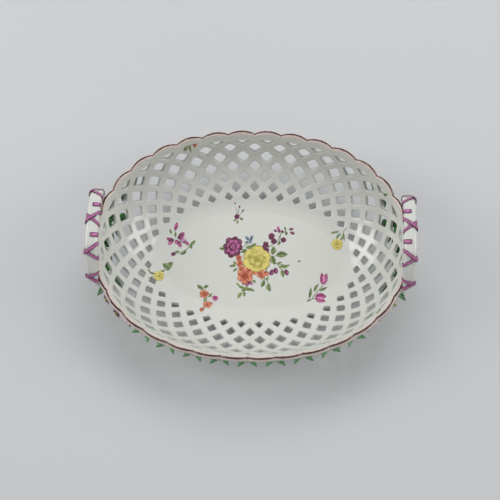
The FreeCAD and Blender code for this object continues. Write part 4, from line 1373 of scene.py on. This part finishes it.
# Painted flowers on the inside: (kind, colour, x, y, heading in degrees clockwise from +Y, length,
# width), all in mm on the plan, and stems as (kind, colour, width, points). The motifs are
# traditional scattered sprays.
PAINTING = (
    # Bouquet: stems first, then leaves, then flowers
    ("stem", "green", 0.8, ((14.1, -1.4), (12.6, -10.9), (11.0, -18.5), (9.9, -25.0))),
    ("stem", "green", 0.8, ((12.8, -17.5), (14.7, -21.2), (16.1, -25.8))),
    ("stem", "green", 0.8, ((12.0, 10.0), (17.3, 14.9), (22.7, 19.8), (25.2, 25.6), (30.6, 28.6))),
    ("stem", "green", 0.7, ((15.8, 4.3), (21.2, 4.5), (26.6, 5.7))),
    ("stem", "green", 0.7, ((17.7, -1.3), (23.2, -3.1), (29.5, -3.9))),
    ("stem", "green", 0.7, ((23.2, -4.0), (26.9, -8.7), (30.6, -10.5))),
    ("stem", "green", 0.8, ((-3.3, -19.8), (-5.0, -25.4), (-7.5, -30.2))),
    ("stem", "green", 0.6, ((23.6, 17.9), (24.8, 23.7), (23.4, 28.5))),
    ("stem", "green", 0.7, ((-8.9, 12.3), (-4.5, 16.3), (-2.8, 19.2))),
    ("leaf", "green", -27.6, 10.5, 270, 5.5, 3.7),
    ("leaf", "green", -3.5, 12.5, 255, 7.4, 3.7),
    ("leaf", "green", 0.7, 14.1, 50, 6.4, 3.7),
    ("leaf", "green", -8.3, 8.5, 240, 6.4, 3.7),
    ("leaf", "green", 18.4, 9.7, 5, 8.7, 5.2),
    ("leaf", "green", 26.6, 5.7, 85, 11.0, 6.1),
    ("leaf", "green", 19.2, 0.3, 160, 9.2, 5.3),
    ("leaf", "green", 24.6, -2.7, 60, 5.5, 2.4),
    ("leaf", "green", 29.2, -4.3, 78, 10.6, 3.5),
    ("leaf", "green", 27.6, -12.2, 165, 7.4, 3.7),
    ("leaf", "green", 11.8, 16.7, 320, 4.6, 3.1),
    ("leaf", "green", 23.3, 16.9, 200, 4.6, 2.9),
    ("leaf", "green", 29.8, 26.3, 150, 3.7, 2.8),
    ("leaf", "green", 29.0, 30.9, 350, 4.6, 2.0),
    ("leaf", "green", -17.9, -6.1, 265, 6.4, 2.8),
    ("leaf", "green", -16.0, -3.1, 340, 4.6, 2.4),
    ("leaf", "green", -15.4, -9.7, 225, 5.5, 2.4),
    ("leaf", "green", 9.8, -21.9, 200, 7.8, 4.0),
    ("leaf", "green", 16.1, -25.3, 165, 8.7, 4.6),
    ("leaf", "green", 13.7, -17.0, 45, 4.6, 2.4),
    ("leaf", "green", 2.1, -20.2, 120, 4.1, 2.6),
    ("leaf", "green", -1.4, -28.7, 97, 10.1, 3.1),
    ("leaf", "green", -8.9, -25.5, 290, 7.4, 2.9),
    ("leaf", "green", -6.5, -32.0, 178, 5.5, 2.8),
    ("leaf", "moss", -10.1, -33.4, 215, 7.4, 3.7),
    ("leaf", "moss", -7.0, -27.5, 235, 5.5, 3.7),
    ("leaf", "moss", -12.4, -23.0, 305, 4.6, 2.2),
    ("leaf", "moss", -4.2, -26.7, 140, 4.6, 2.8),
    ("leaf", "green", 42.2, 0.0, 70, 3.3, 1.8),
    ("bloom", "purple", -18.0, 12.1, 10, 20.2, 15.6),
    ("petal", "blue", -5.4, 21.0, 320, 4.6, 2.8),
    ("petal", "blue", -1.2, 21.7, 20, 4.6, 2.8),
    ("petal", "blue", -2.5, 17.7, 180, 4.6, 3.1),
    ("petal", "blue", -5.8, 17.0, 240, 3.7, 2.2),
    ("blossom", "purple", 11.4, 14.5, 20, 7.4, 5.5),
    ("blossom", "purple", 12.2, 10.0, 160, 7.4, 5.2),
    ("blossom", "purple", 16.8, 23.1, 0, 7.0, 5.9),
    ("blossom", "purple", 18.9, 18.4, 130, 6.1, 5.5),
    ("petal", "rose", 22.6, 31.5, 0, 3.7, 2.8),
    ("bud", "purple", 20.1, 28.6, 300, 3.7, 2.6),
    ("bud", "purple", 23.4, 28.5, 0, 3.7, 2.8),
    ("bud", "purple", 26.1, 28.1, 60, 3.3, 2.4),
    ("blossom", "purple", 27.6, 19.9, 70, 5.5, 5.0),
    ("bud", "purple", 34.4, 30.5, 75, 4.6, 2.8),
    ("bud", "purple", 35.6, 26.8, 110, 4.6, 3.1),
    ("bud", "purple", 30.0, 25.9, 170, 2.8, 2.4),
    ("bud", "purple", 17.8, -11.1, 200, 6.4, 4.6),
    ("bud", "purple", 21.4, -9.5, 170, 6.4, 4.2),
    ("bud", "purple", 31.0, -10.8, 160, 6.4, 4.4),
    ("blossom", "red", -12.3, 1.8, 340, 7.4, 5.5),
    ("blossom", "red", -11.1, -3.5, 250, 7.4, 6.4),
    ("bloom", "red", -6.2, -14.7, 185, 15.6, 13.8),
    ("blossom", "red", -9.5, -8.2, 300, 6.4, 5.5),
    ("blossom", "red", -3.1, -9.4, 20, 7.4, 5.5),
    ("petal", "red", 2.4, -12.1, 95, 6.4, 4.0),
    ("blossom", "red", 8.5, -13.4, 170, 9.2, 7.4),
    ("petal", "red", 13.0, -12.4, 110, 5.5, 4.6),
    ("petal", "purple", -4.0, -21.8, 180, 6.4, 3.7),
    ("petal", "purple", -6.5, -21.7, 240, 4.6, 3.1),
    ("petal", "purple", -0.9, -21.6, 120, 4.6, 3.1),
    ("bloom", "yellow", 4.0, 1.0, 0, 23.9, 23.0),
    # Small purple sprig
    ("stem", "green", 0.5, ((-15.0, 41.1), (-16.1, 47.8), (-17.5, 53.8))),
    ("stem", "green", 0.5, ((-15.0, 41.1), (-14.1, 46.9), (-13.3, 50.6))),
    ("stem", "green", 0.5, ((-14.8, 41.1), (-12.3, 44.1), (-10.1, 47.2))),
    ("leaf", "green", -11.1, 39.5, 115, 4.0, 2.6),
    ("leaf", "moss", -14.6, 36.3, 180, 3.7, 2.8),
    ("leaf", "green", -17.4, 38.1, 245, 3.3, 2.0),
    ("bud", "purple", -17.5, 54.0, 350, 2.6, 1.7),
    ("bud", "purple", -13.3, 51.0, 10, 2.8, 1.8),
    ("bud", "blue", -10.1, 47.4, 30, 3.1, 2.2),
    ("blossom", "purple", -15.2, 41.5, 0, 5.5, 5.0),
    # Iris spray
    ("stem", "green", 0.8, ((-57.0, 12.1), (-62.3, 7.2), (-67.6, 5.2), (-71.2, 4.1))),
    ("stem", "green", 0.7, ((-70.2, 19.5), (-71.3, 25.2), (-70.6, 29.9))),
    ("stem", "green", 0.8, ((-68.2, 16.7), (-62.6, 14.9), (-57.9, 12.1))),
    ("leaf", "green", -74.8, 25.7, 350, 5.5, 2.4),
    ("leaf", "green", -70.9, 22.9, 5, 4.6, 2.4),
    ("leaf", "green", -54.6, 15.3, 40, 7.4, 3.3),
    ("leaf", "green", -56.5, 11.2, 150, 4.6, 2.8),
    ("leaf", "green", -63.1, 5.9, 235, 7.4, 3.1),
    ("leaf", "green", -68.6, 6.5, 260, 4.6, 2.0),
    ("bud", "rose", -70.5, 30.6, 12, 8.7, 3.5),
    ("petal", "rose", -75.0, 15.0, 215, 5.5, 4.0),
    ("petal", "purple", -75.2, 17.8, 285, 7.4, 3.7),
    ("petal", "purple", -65.5, 21.7, 35, 8.3, 5.0),
    ("petal", "lilac", -63.3, 17.5, 100, 6.4, 4.6),
    ("petal", "purple", -60.8, 15.5, 125, 7.4, 3.1),
    ("petal", "purple", -66.6, 13.4, 150, 6.4, 3.7),
    ("petal", "rose", -69.6, 15.7, 200, 4.6, 3.7),
    ("bud", "purple", -71.7, 4.1, 250, 5.0, 3.9),
    # Yellow flower on the left
    ("stem", "green", 0.7, ((-76.0, -7.4), (-80.3, -12.3), (-84.5, -16.5))),
    ("stem", "green", 0.7, ((-84.5, -15.5), (-89.8, -15.3), (-94.2, -13.1))),
    ("stem", "green", 0.5, ((-85.3, -17.6), (-90.3, -19.4), (-93.6, -21.9))),
    ("leaf", "green", -77.9, -7.0, 300, 7.4, 5.5),
    ("leaf", "green", -73.9, -6.2, 40, 7.4, 5.2),
    ("leaf", "green", -76.0, -8.9, 180, 6.4, 5.5),
    ("leaf", "green", -80.6, -12.5, 70, 4.6, 2.2),
    ("leaf", "green", -89.7, -15.7, 275, 5.5, 2.2),
    ("leaf", "moss", -92.0, -13.2, 320, 3.7, 1.8),
    ("bloom", "yellow", -83.5, -17.2, 200, 9.2, 8.3),
    # Coral spray
    ("stem", "green", 0.6, ((-44.5, -25.5), (-42.4, -31.0), (-40.3, -38.4), (-40.1, -44.1), (-43.4, -48.1))),
    ("stem", "green", 0.6, ((-40.4, -36.6), (-36.0, -34.6), (-32.4, -36.4))),
    ("leaf", "green", -46.5, -25.7, 300, 5.5, 3.7),
    ("leaf", "green", -40.7, -26.1, 60, 5.2, 3.3),
    ("leaf", "green", -44.7, -27.9, 200, 3.7, 2.8),
    ("leaf", "green", -36.6, -33.9, 30, 4.6, 2.8),
    ("leaf", "moss", -40.9, -38.6, 210, 4.6, 2.8),
    ("blossom", "red", -42.4, -33.1, 260, 9.2, 7.4),
    ("blossom", "rose", -32.2, -36.5, 100, 5.5, 5.5),
    ("blossom", "red", -38.9, -42.9, 90, 8.8, 6.8),
    ("bud", "red", -43.6, -47.7, 220, 5.0, 4.0),
    ("bud", "red", -35.7, -41.1, 60, 2.8, 2.2),
    # Tulips
    ("stem", "green", 0.8, ((64.5, -21.8), (59.6, -27.6), (54.3, -35.1))),
    ("stem", "green", 0.8, ((58.8, -34.1), (55.2, -35.1), (51.7, -37.1))),
    ("leaf", "green", 52.6, -29.4, 8, 11.0, 2.9),
    ("leaf", "green", 58.3, -24.6, 28, 9.2, 2.8),
    ("leaf", "green", 64.4, -25.6, 62, 8.3, 2.6),
    ("leaf", "moss", 51.2, -36.5, 225, 4.6, 2.0),
    ("tulip", "rose", 64.5, -16.0, 5, 11.5, 7.4),
    ("tulip", "rose", 62.0, -34.3, 100, 10.6, 8.3),
    # Yellow flower on the right
    ("stem", "green", 0.7, ((77.0, 18.1), (80.6, 24.5), (82.2, 28.7), (84.8, 32.0))),
    ("leaf", "green", 74.6, 27.7, 262, 9.7, 2.8),
    ("leaf", "green", 77.5, 24.1, 218, 7.4, 2.4),
    ("leaf", "green", 82.3, 23.7, 170, 7.9, 2.4),
    ("leaf", "green", 80.0, 22.7, 195, 5.5, 1.8),
    ("bloom", "yellow", 76.2, 16.8, 150, 10.1, 9.6),
    # Coral sprig on the plain lobe
    ("stem", "green", 0.6, ((-62.0, 88.4), (-58.4, 90.6), (-54.0, 92.5))),
    ("leaf", "moss", -61.6, 88.7, 235, 4.6, 2.8),
    ("leaf", "green", -57.0, 93.0, 320, 4.2, 2.4),
    ("leaf", "moss", -57.6, 89.5, 150, 4.0, 2.4),
    ("blossom", "red", -53.6, 92.9, 40, 5.2, 4.6),
    # Leaf sprigs by the rim
    ("leaf", "green", 117.6, 50.0, 20, 4.6, 2.4),
    ("leaf", "green", 116.1, 48.7, 300, 3.7, 2.0),
    ("leaf", "green", 111.1, -57.7, 150, 4.6, 2.4),
    ("leaf", "moss", 109.1, -58.9, 250, 3.7, 2.0),
    ("leaf", "rose", 0.3, -98.7, 90, 3.1, 1.8),
    ("leaf", "green", 22.9, -95.9, 95, 3.3, 1.7),
)


def smooth_half(kind, b):
    """Half width of a stroke along its length, from 0 at its foot to 1 at its tip."""
    if kind == "leaf":
        return math.sin(math.pi * min(1.0, max(0.0, b)) ** 0.85) ** 0.9
    if kind == "bud":
        return math.sin(math.pi * b) ** 0.6
    return (0.25 + 0.75 * math.sin(math.pi * min(1.0, 0.1 + 0.78 * b)) ** 0.7) * (1.0 if b < 0.99 else 0.82)


class Painter:
    """Lays enamel strokes on the inner face, a little proud of the glaze, one shell for each colour.
    The edge of a stroke dips under the glaze by a share of its height, and its underside further."""

    edge_dip, base_dip = 0.3, 0.6

    def __init__(self, sizes):
        self.high = sizes.enamel
        self.shells = {}
        self.random = random.Random(11)

    def stroke(self, kind, colour, x, y, heading, long, wide, level, tone_shift=0.0):
        """One stroke, a lens of enamel whose edge runs into the glaze."""
        shell = self.shells.setdefault(colour, Shell("wash"))
        angle = math.radians(heading)
        ahead, aside = (math.sin(angle), math.cos(angle)), (math.cos(angle), -math.sin(angle))
        along, across = (9, 6) if kind == "leaf" else (6, 6)
        bend = self.random.uniform(-0.12, 0.12) if kind == "leaf" else 0.0
        lift = self.high * (1 + 0.3 * level)
        grid = [[(i / across * 2 - 1, j / along) for i in range(across + 1)] for j in range(along + 1)]

        def plan(a, b):
            go = (b - 0.5) * long
            off = a * wide / 2 * smooth_half(kind, b) + bend * long * math.sin(math.pi * b)
            if kind == "petal":
                go -= 0.06 * long * a * a * b
            return x + ahead[0] * go + aside[0] * off, y + ahead[1] * go + aside[1] * off

        def top(a, b):
            edge = abs(a) > 0.99 or b < 0.01 or b > 0.99
            return WALL.over(*plan(a, b), -self.edge_dip * self.high if edge else lift * (1.15 - 0.15 * a * a))

        def bottom(a, b):
            return WALL.over(*plan(a, b), -self.base_dip * self.high)

        def marks(a, b):
            if kind == "leaf":
                shade = 0.55 + (0.25 if a > 0.05 else -0.1) - 0.55 * math.exp(-((a / 0.2) ** 2)) - 0.35 * a ** 6
                shade += 0.15 * math.cos(math.tau * (3 * b - abs(a)))
            elif kind == "bud":
                shade = 0.1 + 0.8 * math.exp(-(((a + 0.25) / 0.35) ** 2 + ((b - 0.55) / 0.22) ** 2))
            else:
                shade = 0.1 + 0.75 * b + 0.16 * a + 0.12 * math.cos(13 * a) - 0.35 * max(abs(a), 2 * b - 1) ** 8
            return {"wash": min(1.1, max(-0.1, shade + tone_shift))}

        lens(shell, grid, top, bottom, marks)

    def ring_of(self, colour, x, y, heading, long, wide, count, reach, size, level, tone_shift=0.0, spin=0.0):
        """Petals round a middle, on an oval."""
        angle = math.radians(heading)
        for i in range(count):
            turn = math.tau * (i + spin) / count + self.random.uniform(-0.12, 0.12)
            side, ahead = math.sin(turn) * wide / 2 * reach, math.cos(turn) * long / 2 * reach
            px = x + ahead * math.sin(angle) + side * math.cos(angle)
            py = y + ahead * math.cos(angle) - side * math.sin(angle)
            way = heading + math.degrees(math.atan2(side, ahead))
            fit = self.random.uniform(0.92, 1.06) * size
            self.stroke("petal", colour, px, py, way, fit * long, fit * wide * 1.05, level + 0.25 * i,
                        tone_shift + self.random.uniform(-0.18, 0.12))

    def blossom(self, colour, x, y, heading, long, wide, level):
        """Five petals round a dark eye, each set turned by chance."""
        shift = -0.3 if colour == "purple" else 0.0
        self.ring_of(colour, x, y, heading, long, wide, 5, 0.5, 0.52, level, shift, self.random.random())
        self.stroke("bud", colour, x, y, heading, 0.26 * long, 0.26 * wide, level + 2, -0.35)

    def tulip(self, colour, x, y, heading, long, wide, level):
        """Two dark outer petals, a paler one between them, and a light lick at its foot."""
        angle = math.radians(heading)
        for side, shift in ((-1, -0.35), (1, -0.25)):
            px, py = x + side * 0.2 * wide * math.cos(angle), y - side * 0.2 * wide * math.sin(angle)
            self.stroke("leaf", colour, px, py, heading + 9 * side, long, 0.66 * wide, level + 0.4 * side, shift)
        for back, tall, broad, lift, shift in ((0.06, 0.74, 0.5, 2, 0.15), (0.2, 0.3, 0.24, 3, 0.4)):
            px, py = x - back * long * math.sin(angle), y - back * long * math.cos(angle)
            self.stroke("petal", colour, px, py, heading, tall * long, broad * wide, level + lift, shift)

    # Rings of a full flower from the outside in: petals, reach, size, and how much paler they are
    habits = {
        "yellow": ((6, 0.52, 0.6, 0.22), (5, 0.36, 0.5, -0.1), (4, 0.22, 0.38, 0.1), (3, 0.1, 0.24, -0.3)),
        "purple": ((8, 0.62, 0.44, -0.35), (7, 0.42, 0.36, 0.25), (5, 0.24, 0.3, -0.35), (3, 0.1, 0.2, 0.45)),
        "red": ((6, 0.58, 0.5, 0.1), (5, 0.36, 0.4, -0.15), (4, 0.16, 0.26, -0.4)),
    }

    def bloom(self, colour, x, y, heading, long, wide, level):
        """A full flower: rings of petals round a dark eye, each colour with its own habit."""
        for k, (count, reach, size, shift) in enumerate(self.habits[colour]):
            self.ring_of(colour, x, y, heading, long, wide, count, reach, size, level + 2.2 * k, shift, 0.37 * k)
        self.stroke("bud", colour, x, y, heading, 0.12 * long, 0.12 * wide, level + 9.5, -0.7)

    def stem(self, colour, wide, points):
        """A fine stroke along a smooth line."""
        shell = self.shells.setdefault(colour, Shell("wash"))
        line, ways, _ = spline([(a * MM, b * MM) for a, b in points], max(6, 4 * len(points)))
        last = len(line) - 1
        tops, lows = [], []
        for k, ((x, y), (dx, dy)) in enumerate(zip(line, ways)):
            half = wide * MM / 2 * (1 if 0 < k < last else 0.4)
            top_row, low_row = [], []
            for a in (-1, -0.4, 0.4, 1):
                px, py = x - dy * half * a, y + dx * half * a
                edge = abs(a) == 1 or k in (0, last)
                lift = -self.edge_dip * self.high if edge else self.high
                top_row.append(shell.add(WALL.over(px, py, lift), wash=0.3 + 0.25 * a))
                low = top_row[-1] if edge else shell.add(WALL.over(px, py, -self.base_dip * self.high), wash=0.3)
                low_row.append(low)
            tops.append(top_row)
            lows.append(low_row)
        shell.grid(tops)
        shell.grid([list(reversed(row)) for row in lows])

    def paint(self, rows):
        """All rows in their order. What lies over what follows from the kind and from the row's number."""
        for number, (kind, shade, *values) in enumerate(rows):
            if kind == "stem":
                self.stem(shade, *values)
                continue
            x, y, heading, long, wide = values[0] * MM, values[1] * MM, values[2], values[3] * MM, values[4] * MM
            where = (shade, x, y, heading, long, wide)
            if kind == "blossom":
                self.blossom(*where, 3 + number % 4)
            elif kind == "tulip":
                self.tulip(*where, 3)
            elif kind == "bloom":
                self.bloom(*where, 7 if shade == "yellow" else 4)
            else:
                self.stroke(kind, *where, 1 + number % 3, self.random.uniform(-0.12, 0.12))


# Stage


def soft_box(name, place, wide, high, watts, reflected):
    """A soft lamp that faces the basket."""
    lamp = bpy.data.lights.new(name, "AREA")
    lamp.shape = "RECTANGLE"
    lamp.size, lamp.size_y, lamp.energy = wide, high, watts
    box = bpy.data.objects.new(name, lamp)
    box.location = place
    box.rotation_euler = (Vector(LAMP_TARGET) - Vector(place)).to_track_quat("-Z", "Y").to_euler()
    box.visible_glossy = reflected
    bpy.context.scene.collection.objects.link(box)


def seen_ray(tree):
    """1 where the camera, a reflection or a clear body looks at the backdrop, and 0 where it gives light."""
    path = add_node(tree, "ShaderNodeLightPath")
    seen = maths(tree, "MAXIMUM", path.outputs["Is Camera Ray"], path.outputs["Is Glossy Ray"])
    return maths(tree, "MAXIMUM", seen, path.outputs["Is Transmission Ray"])


def set_table(colours):
    """A plain pale table that runs into the backdrop on every side."""
    shell = Shell()
    rows = [[shell.add(Vector((x, y, 0))) for x in (-TABLE_HALF, TABLE_HALF)] for y in (-TABLE_HALF, TABLE_HALF)]
    shell.grid(rows)
    # Matt pale laminate with broad faint clouds; it fades into lit paper away from the basket
    finish, tree, shader = new_finish("pale_table")
    shade = mix(tree, noise(tree, 400.0, detail=1.0), colours.floor, colours.floor_cloud)
    tree.links.new(shade, shader.inputs["Base Color"])
    shader.inputs["Roughness"].default_value = 0.55
    shader.inputs["Specular IOR Level"].default_value = 0.3
    away = add_node(tree, "ShaderNodeVectorMath", {"operation": "LENGTH"}, i0=on_object(tree)).outputs["Value"]
    far = maths(tree, "MULTIPLY", band(tree, away, *TABLE_FADE), seen_ray(tree))
    paper = add_node(tree, "ShaderNodeEmission", Color=colours.backdrop, Strength=1.0)
    both = add_node(tree, "ShaderNodeMixShader", i0=far, i1=shader.outputs[0], i2=paper.outputs[0])
    tree.links.new(both.outputs[0], tree.nodes["Material Output"].inputs["Surface"])
    shell.piece("table", finish)


def set_world(colours):
    """Even studio light, with a pale backdrop where the camera or a reflection looks past the table."""
    world = bpy.data.worlds.new("studio")
    bpy.context.scene.world = world
    world.use_nodes = True
    tree = world.node_tree
    tree.nodes.clear()
    light = add_node(tree, "ShaderNodeBackground", Color=colours.daylight, Strength=0.38)
    backdrop = add_node(tree, "ShaderNodeBackground", Color=colours.backdrop, Strength=1.0)
    both = add_node(tree, "ShaderNodeMixShader", i0=seen_ray(tree), i1=light.outputs[0], i2=backdrop.outputs[0])
    add_node(tree, "ShaderNodeOutputWorld", Surface=both.outputs[0])


def set_camera():
    """The photograph's view: from high in front, a little to the right, rolled a few degrees."""
    lens_data = bpy.data.cameras.new("camera")
    lens_data.lens, lens_data.sensor_width = CAMERA_LENS, CAMERA_SENSOR
    lens_data.shift_x, lens_data.shift_y = CAMERA_SHIFT
    lens_data.clip_end = 20.0
    camera = bpy.data.objects.new("camera", lens_data)
    camera.location = CAMERA_PLACE
    look = (Vector(CAMERA_TARGET) - camera.location).to_track_quat("-Z", "Y")
    camera.rotation_euler = (look.to_matrix() @ Matrix.Rotation(math.radians(CAMERA_ROLL), 3, "Z")).to_euler()
    bpy.context.scene.collection.objects.link(camera)
    bpy.context.scene.camera = camera


# Operators, panel and main


class BasketOperator:
    """What all steps share: their options, and the sizes and colours of the scene."""

    bl_options = {"REGISTER", "UNDO"}

    @property
    def sizes(self):
        return bpy.context.scene.basket_sizes

    @property
    def colours(self):
        return bpy.context.scene.basket_colours


class BASKET_OT_stage(BasketOperator, Operator):
    """Set the table, the lamps and the camera"""

    bl_idname = "basket.stage"
    bl_label = "Stage"

    def execute(self, context):
        context.scene.view_settings.view_transform = "Standard"
        set_table(self.colours)
        set_world(self.colours)
        for lamp in LAMPS:
            soft_box(*lamp)
        set_camera()
        return {"FINISHED"}


class BASKET_OT_bowl(BasketOperator, Operator):
    """Build the pierced bowl with its lobed rim"""

    bl_idname = "basket.bowl"
    bl_label = "Pierced bowl"

    def execute(self, context):
        seat(pierced_bowl(self.sizes, self.colours), "porcelain_body", "basket_body")
        return {"FINISHED"}


class BASKET_OT_foot(BasketOperator, Operator):
    """Build the foot ring"""

    bl_idname = "basket.foot"
    bl_label = "Foot ring"

    def execute(self, context):
        seat(foot_rim(self.sizes, self.colours), "porcelain_foot", "foot_ring")
        return {"FINISHED"}


class BASKET_OT_handles(BasketOperator, Operator):
    """Build both handles and the ribbons bound round them"""

    bl_idname = "basket.handles"
    bl_label = "Handles and ribbons"

    def execute(self, context):
        for side, word in ((1, "right"), (-1, "left")):
            shape = Band(self.sizes, side)
            seat(handle_band(shape, "fluted_handle_" + word, self.colours), "porcelain_handle", "handle_" + word)
            seat(ribbon(shape, "bound_ribbon_" + word, self.colours), "puce_ribbon", "ribbon_" + word)
        return {"FINISHED"}


class BASKET_OT_florets(BasketOperator, Operator):
    """Set a floret with two leaves outside each notch of the rim"""

    bl_idname = "basket.florets"
    bl_label = "Rim florets"

    def execute(self, context):
        sizes, colours = self.sizes, self.colours
        flowers, leaves = [], []
        for notch in FLORET_NOTCHES:
            middle = (notch / HOLES, FLORET_STAGE)
            flowers.append(wall_seat(middle, FLORET_HEADING, 1.0, sizes.wall))
            for heading in (-RIM_LEAF_HEADING, RIM_LEAF_HEADING):
                place = set_off(middle, heading, sizes.floret * RIM_LEAF_START, sizes.wall)
                leaves.append(wall_seat(place, heading, 1.0, sizes.wall, lean=RIM_LEAF_LEAN))
        petals, hearts = finish_named("petal_porcelain", colours), finish_named("heart_enamel", colours)
        parts = flower_parts("rim_floret", flowers, sizes.floret, sizes.floret_rise, 0.0, 5, 0.36, petals, hearts)
        for part in parts:
            seat(part, "floret_enamel", "rim_florets")
        finish = finish_named("pale_green_enamel", colours)
        leaf = leaf_shape(finish, 0.5, thick=0.17, long=8, wide=6, broad=0.34)
        made = seated("rim_leaves", leaves, leaf, sizes.rim_leaf, 0.1, finish)
        bpy.data.objects.remove(leaf)
        seat(made, "leaf_enamel", "rim_floret_leaves")
        return {"FINISHED"}


class BASKET_OT_sprays(BasketOperator, Operator):
    """Lay the sprays of leaves, buds and blossoms from the feet of the handles"""

    bl_idname = "basket.sprays"
    bl_label = "Sprays at the handles"

    def execute(self, context):
        sizes, colours = self.sizes, self.colours
        green, brown = finish_named("applied_green_enamel", colours), finish_named("brown_green_enamel", colours)
        root = BLOSSOM_PROUD / sizes.blossom_rise
        for side, word in ((1, "right"), (-1, "left")):
            sprays = Sprays(sizes, side)
            back, front = sprays.foot, 0.5 - sprays.foot
            sprays.along_rim(back, -1, BACK_LEAVES, (), BACK_BLOSSOMS, BACK_STEM_END)
            if side > 0:
                leaves, buds, blossoms = FRONT_RIGHT_LEAVES, FRONT_RIGHT_BUDS, FRONT_RIGHT_BLOSSOMS
            else:
                leaves, buds, blossoms = FRONT_LEFT_LEAVES, (), FRONT_LEFT_BLOSSOMS
            sprays.along_rim(front, 1, leaves, buds, blossoms, FRONT_STEM_END)
            sprays.under_handle(back, -1)
            sprays.under_handle(front, 1)
            seat(sprays.stems.piece("spray_stem_" + word, brown), "stem_enamel", "spray_stems_" + word)
            for name, seats, curl in (("spray_leaf_", sprays.leaves, 0.45), ("under_leaf_", sprays.under, 0.08)):
                leaf = leaf_shape(green, curl, broad=0.34)
                seat(seated(name + word, seats, leaf, 1.0, 0.05, green), "leaf_enamel", "spray_leaves_" + word)
                bpy.data.objects.remove(leaf)
            if sprays.buds:
                red = finish_named("brown_red_enamel", colours)
                bud = bud_shape(sizes.bud, sizes.bud_rise, red)
                made = seated("spray_bud_" + word, sprays.buds, bud, 1.0, 0.1, red)
                seat(made, "bud_enamel", "spray_buds_" + word)
                bpy.data.objects.remove(bud)
            petals = finish_named("plum_petal_enamel" if side < 0 else "petal_porcelain", colours)
            hearts = finish_named("moss_enamel", colours)
            parts = flower_parts("blossom_" + word, sprays.blossoms, sizes.blossom, sizes.blossom_rise,
                                 root, 6, 0.34, petals, hearts)
            for part in parts:
                seat(part, "purple_enamel" if side < 0 else "white_enamel", "blossoms_" + word)
        return {"FINISHED"}


class BASKET_OT_painting(BasketOperator, Operator):
    """Paint the bouquet and the scattered sprigs on the inside"""

    bl_idname = "basket.painting"
    bl_label = "Painted flowers"

    names = {"red": "iron_red", "purple": "plum"}
    slots = {"green": "leaf_enamel", "moss": "leaf_enamel", "red": "bud_enamel", "yellow": "floret_enamel"}

    def execute(self, context):
        painter = Painter(self.sizes)
        painter.paint(PAINTING)
        for shade, shell in painter.shells.items():
            finish = finish_named(self.names.get(shade, shade) + "_enamel", self.colours)
            piece = shell.piece("painted_" + shade, finish, merge=0.0002 * MM)
            seat(piece, self.slots.get(shade, "purple_enamel"))
        return {"FINISHED"}


STEPS = (
    BASKET_OT_stage, BASKET_OT_bowl, BASKET_OT_foot, BASKET_OT_handles, BASKET_OT_florets, BASKET_OT_sprays,
    BASKET_OT_painting,
)


class BASKET_PT_panel(Panel):
    """Lists the steps with their sizes and colours"""

    bl_idname = "BASKET_PT_panel"
    bl_label = "Porcelain basket"
    bl_space_type = "VIEW_3D"
    bl_region_type = "UI"
    bl_category = "Basket"

    def draw(self, context):
        for step in STEPS:
            self.layout.operator(step.bl_idname)
        for group in (context.scene.basket_sizes, context.scene.basket_colours):
            box = self.layout.box()
            for name in group.bl_rna.properties.keys():
                if name not in ("rna_type", "name"):
                    box.prop(group, name)


CLASSES = (BasketSizes, BasketColours, *STEPS, BASKET_PT_panel)


def register():
    for each in CLASSES:
        bpy.utils.register_class(each)
    bpy.types.Scene.basket_sizes = PointerProperty(type=BasketSizes)
    bpy.types.Scene.basket_colours = PointerProperty(type=BasketColours)


def unregister():
    del bpy.types.Scene.basket_colours
    del bpy.types.Scene.basket_sizes
    for each in reversed(CLASSES):
        bpy.utils.unregister_class(each)


def main():
    register()
    bpy.ops.basket.stage()
    bpy.ops.basket.bowl()
    bpy.ops.basket.foot()
    bpy.ops.basket.handles()
    bpy.ops.basket.florets()
    bpy.ops.basket.sprays()
    bpy.ops.basket.painting()


if __name__ == "__main__":
    main()
